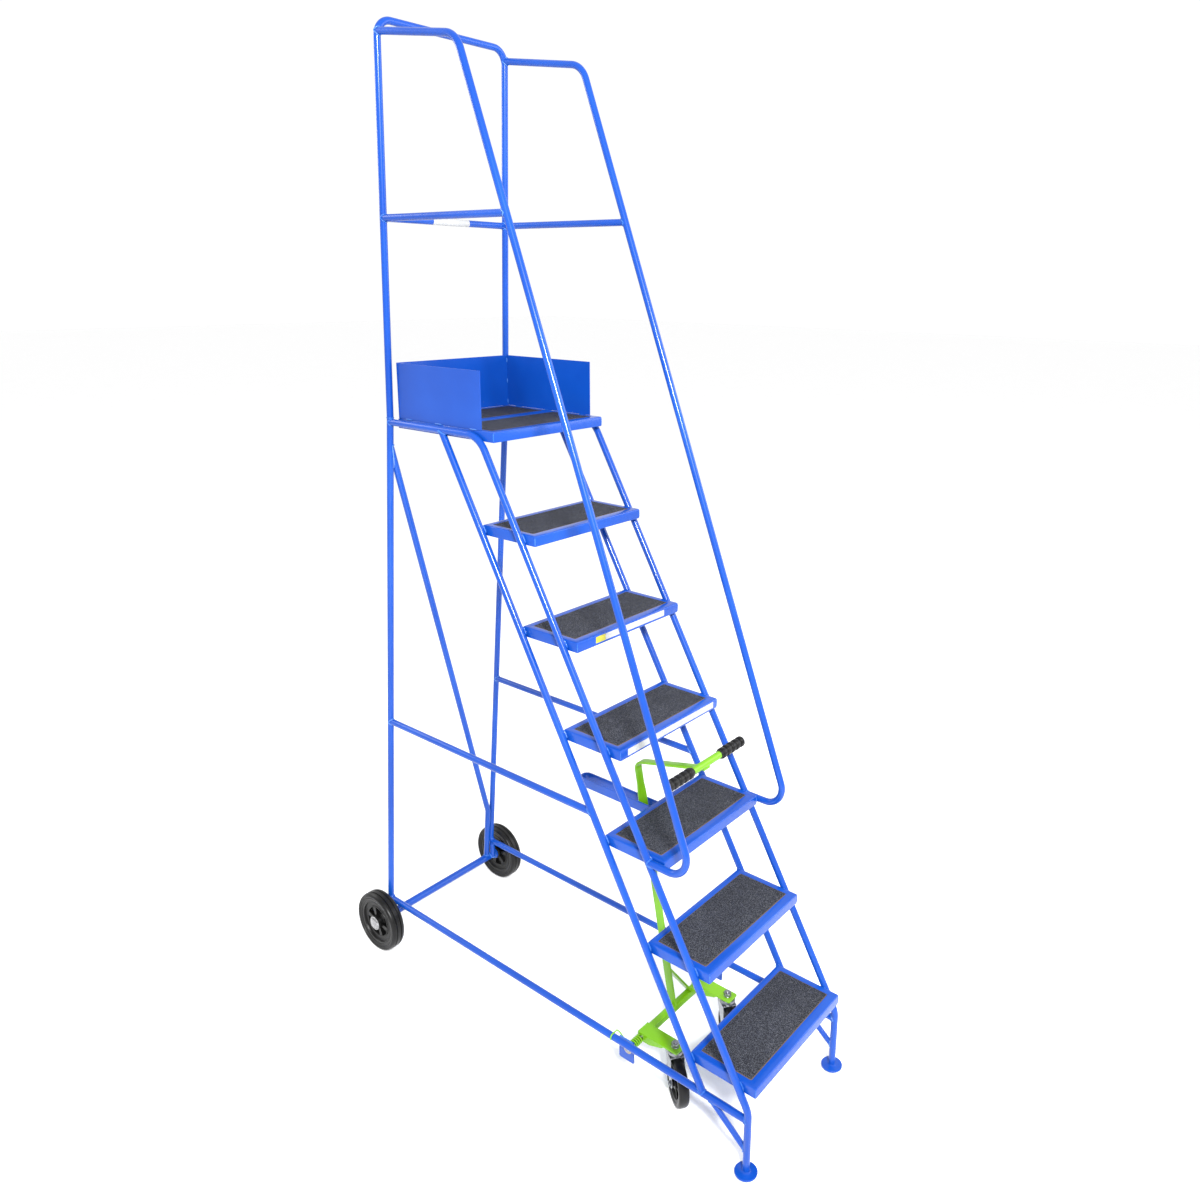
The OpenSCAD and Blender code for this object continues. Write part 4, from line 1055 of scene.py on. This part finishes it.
front_label(labels_w, -100, 143, 1229, 1246, RUN * 4)
front_label(labels_y, -138, -101, 1229, 1246, RUN * 4)
front_label(labels_w, -179, 187, 978, 996, RUN * 3)
labels_w.make("tread_labels", LABEL_WHITE, "frame", "blue_paint", [])
labels_y.make("tread_label_block", LABEL_YELLOW, "frame", "blue_paint", [])
sleeve = Part().add(*lathe_shell([(9.52, -64), (9.75, -64), (9.8, -63), (9.8, 63), (9.75, 64), (9.52, 64)],
                                 (8, guard_y(MID_Z), MID_Z), X, 40))
sleeve.make("rear_rail_label", LABEL_WHITE, "frame", "blue_paint", [])

# CAD nodes that stay visible take the finish of their slot
for item in frame["record"]["subparts"]:
    o = frame["nodes"][item["node"]]
    o.data.materials.clear()
    o.data.materials.append(STEEL if item["node"] == "axle_rod" else SLOTS[item["material_slot"]])
    for p in o.data.polygons:
        p.use_smooth = True

# ---------------------------------------------------------------- floor, light and camera
floor_mat, nt, b = new_material("pale_floor")
fc = nt.nodes.new("ShaderNodeTexCoord").outputs["Object"]
fn = noise(nt, fc, 3, 3)
ft = ramp(nt, fn.outputs["Fac"], [(0.3, (0.945, 0.945, 0.945)), (0.7, (0.955, 0.955, 0.955))])
nt.links.new(ft.outputs["Color"], b.inputs["Base Color"])
b.inputs["Roughness"].default_value = 0.85
me = bpy.data.meshes.new("floor")
FLOOR_HALF = 40.0
me.from_pydata([(x * FLOOR_HALF, y * FLOOR_HALF, 0) for x, y in ((-1, -1), (1, -1), (1, 1), (-1, 1))],
               [], [(0, 1, 2, 3)])
floor = bpy.data.objects.new("floor", me)
bpy.context.scene.collection.objects.link(floor)
me.materials.append(floor_mat)

bpy.context.scene.view_settings.view_transform = "Standard"
world = bpy.data.worlds.new("studio")
bpy.context.scene.world = world
world.use_nodes = True
world.node_tree.nodes["Background"].inputs["Color"].default_value = (1, 1, 1, 1)
world.node_tree.nodes["Background"].inputs["Strength"].default_value = 1.04


def area_light(name, loc, target, size, power):
    d = bpy.data.lights.new(name, "AREA")
    d.shape = "RECTANGLE"
    d.size, d.size_y = size
    d.energy = power
    o = bpy.data.objects.new(name, d)
    bpy.context.scene.collection.objects.link(o)
    o.location = loc
    o.rotation_euler = (Vector(target) - Vector(loc)).to_track_quat("-Z", "Y").to_euler()
    return o


area_light("key", (-2.4, -3.0, 3.6), (0, 0, 1.2), (0.6, 0.6), 365)
area_light("fill", (3.6, -3.0, 3.0), (0, 0, 1.2), (3.0, 3.0), 90)
area_light("back", (-1.0, 4.5, 3.6), (0, 0, 1.4), (3.0, 2.0), 90)

# The lens in millimetres on a 36 mm sensor, and its shift as a part of the picture's width
SENSOR, LENS, SHIFT_X, SHIFT_Y = 36.0, 29.1738, -0.0563917, -0.0617083
CAM_AZ, CAM_EL, CAM_ROLL = map(math.radians, (-52.138, 14.209, 0.763))
CAM_PLACE = Vector((-1.8728, -1.7518, 2.1335))
cam_data = bpy.data.cameras.new("camera")
cam = bpy.data.objects.new("camera", cam_data)
bpy.context.scene.collection.objects.link(cam)
bpy.context.scene.camera = cam
back = Vector((math.sin(CAM_AZ) * math.cos(CAM_EL), -math.cos(CAM_AZ) * math.cos(CAM_EL), math.sin(CAM_EL)))
level = (-back).cross(Z).normalized()
above = level.cross(-back)
cam_x = level * math.cos(CAM_ROLL) + above * math.sin(CAM_ROLL)
cam_y = -level * math.sin(CAM_ROLL) + above * math.cos(CAM_ROLL)
cam.matrix_world = Matrix.Translation(CAM_PLACE) @ Matrix((cam_x, cam_y, back)).transposed().to_4x4()
cam_data.sensor_width = SENSOR
cam_data.lens = LENS
cam_data.shift_x, cam_data.shift_y = SHIFT_X, SHIFT_Y
cam_data.clip_start, cam_data.clip_end = 0.05, 200
cam_data.dof.use_dof = False
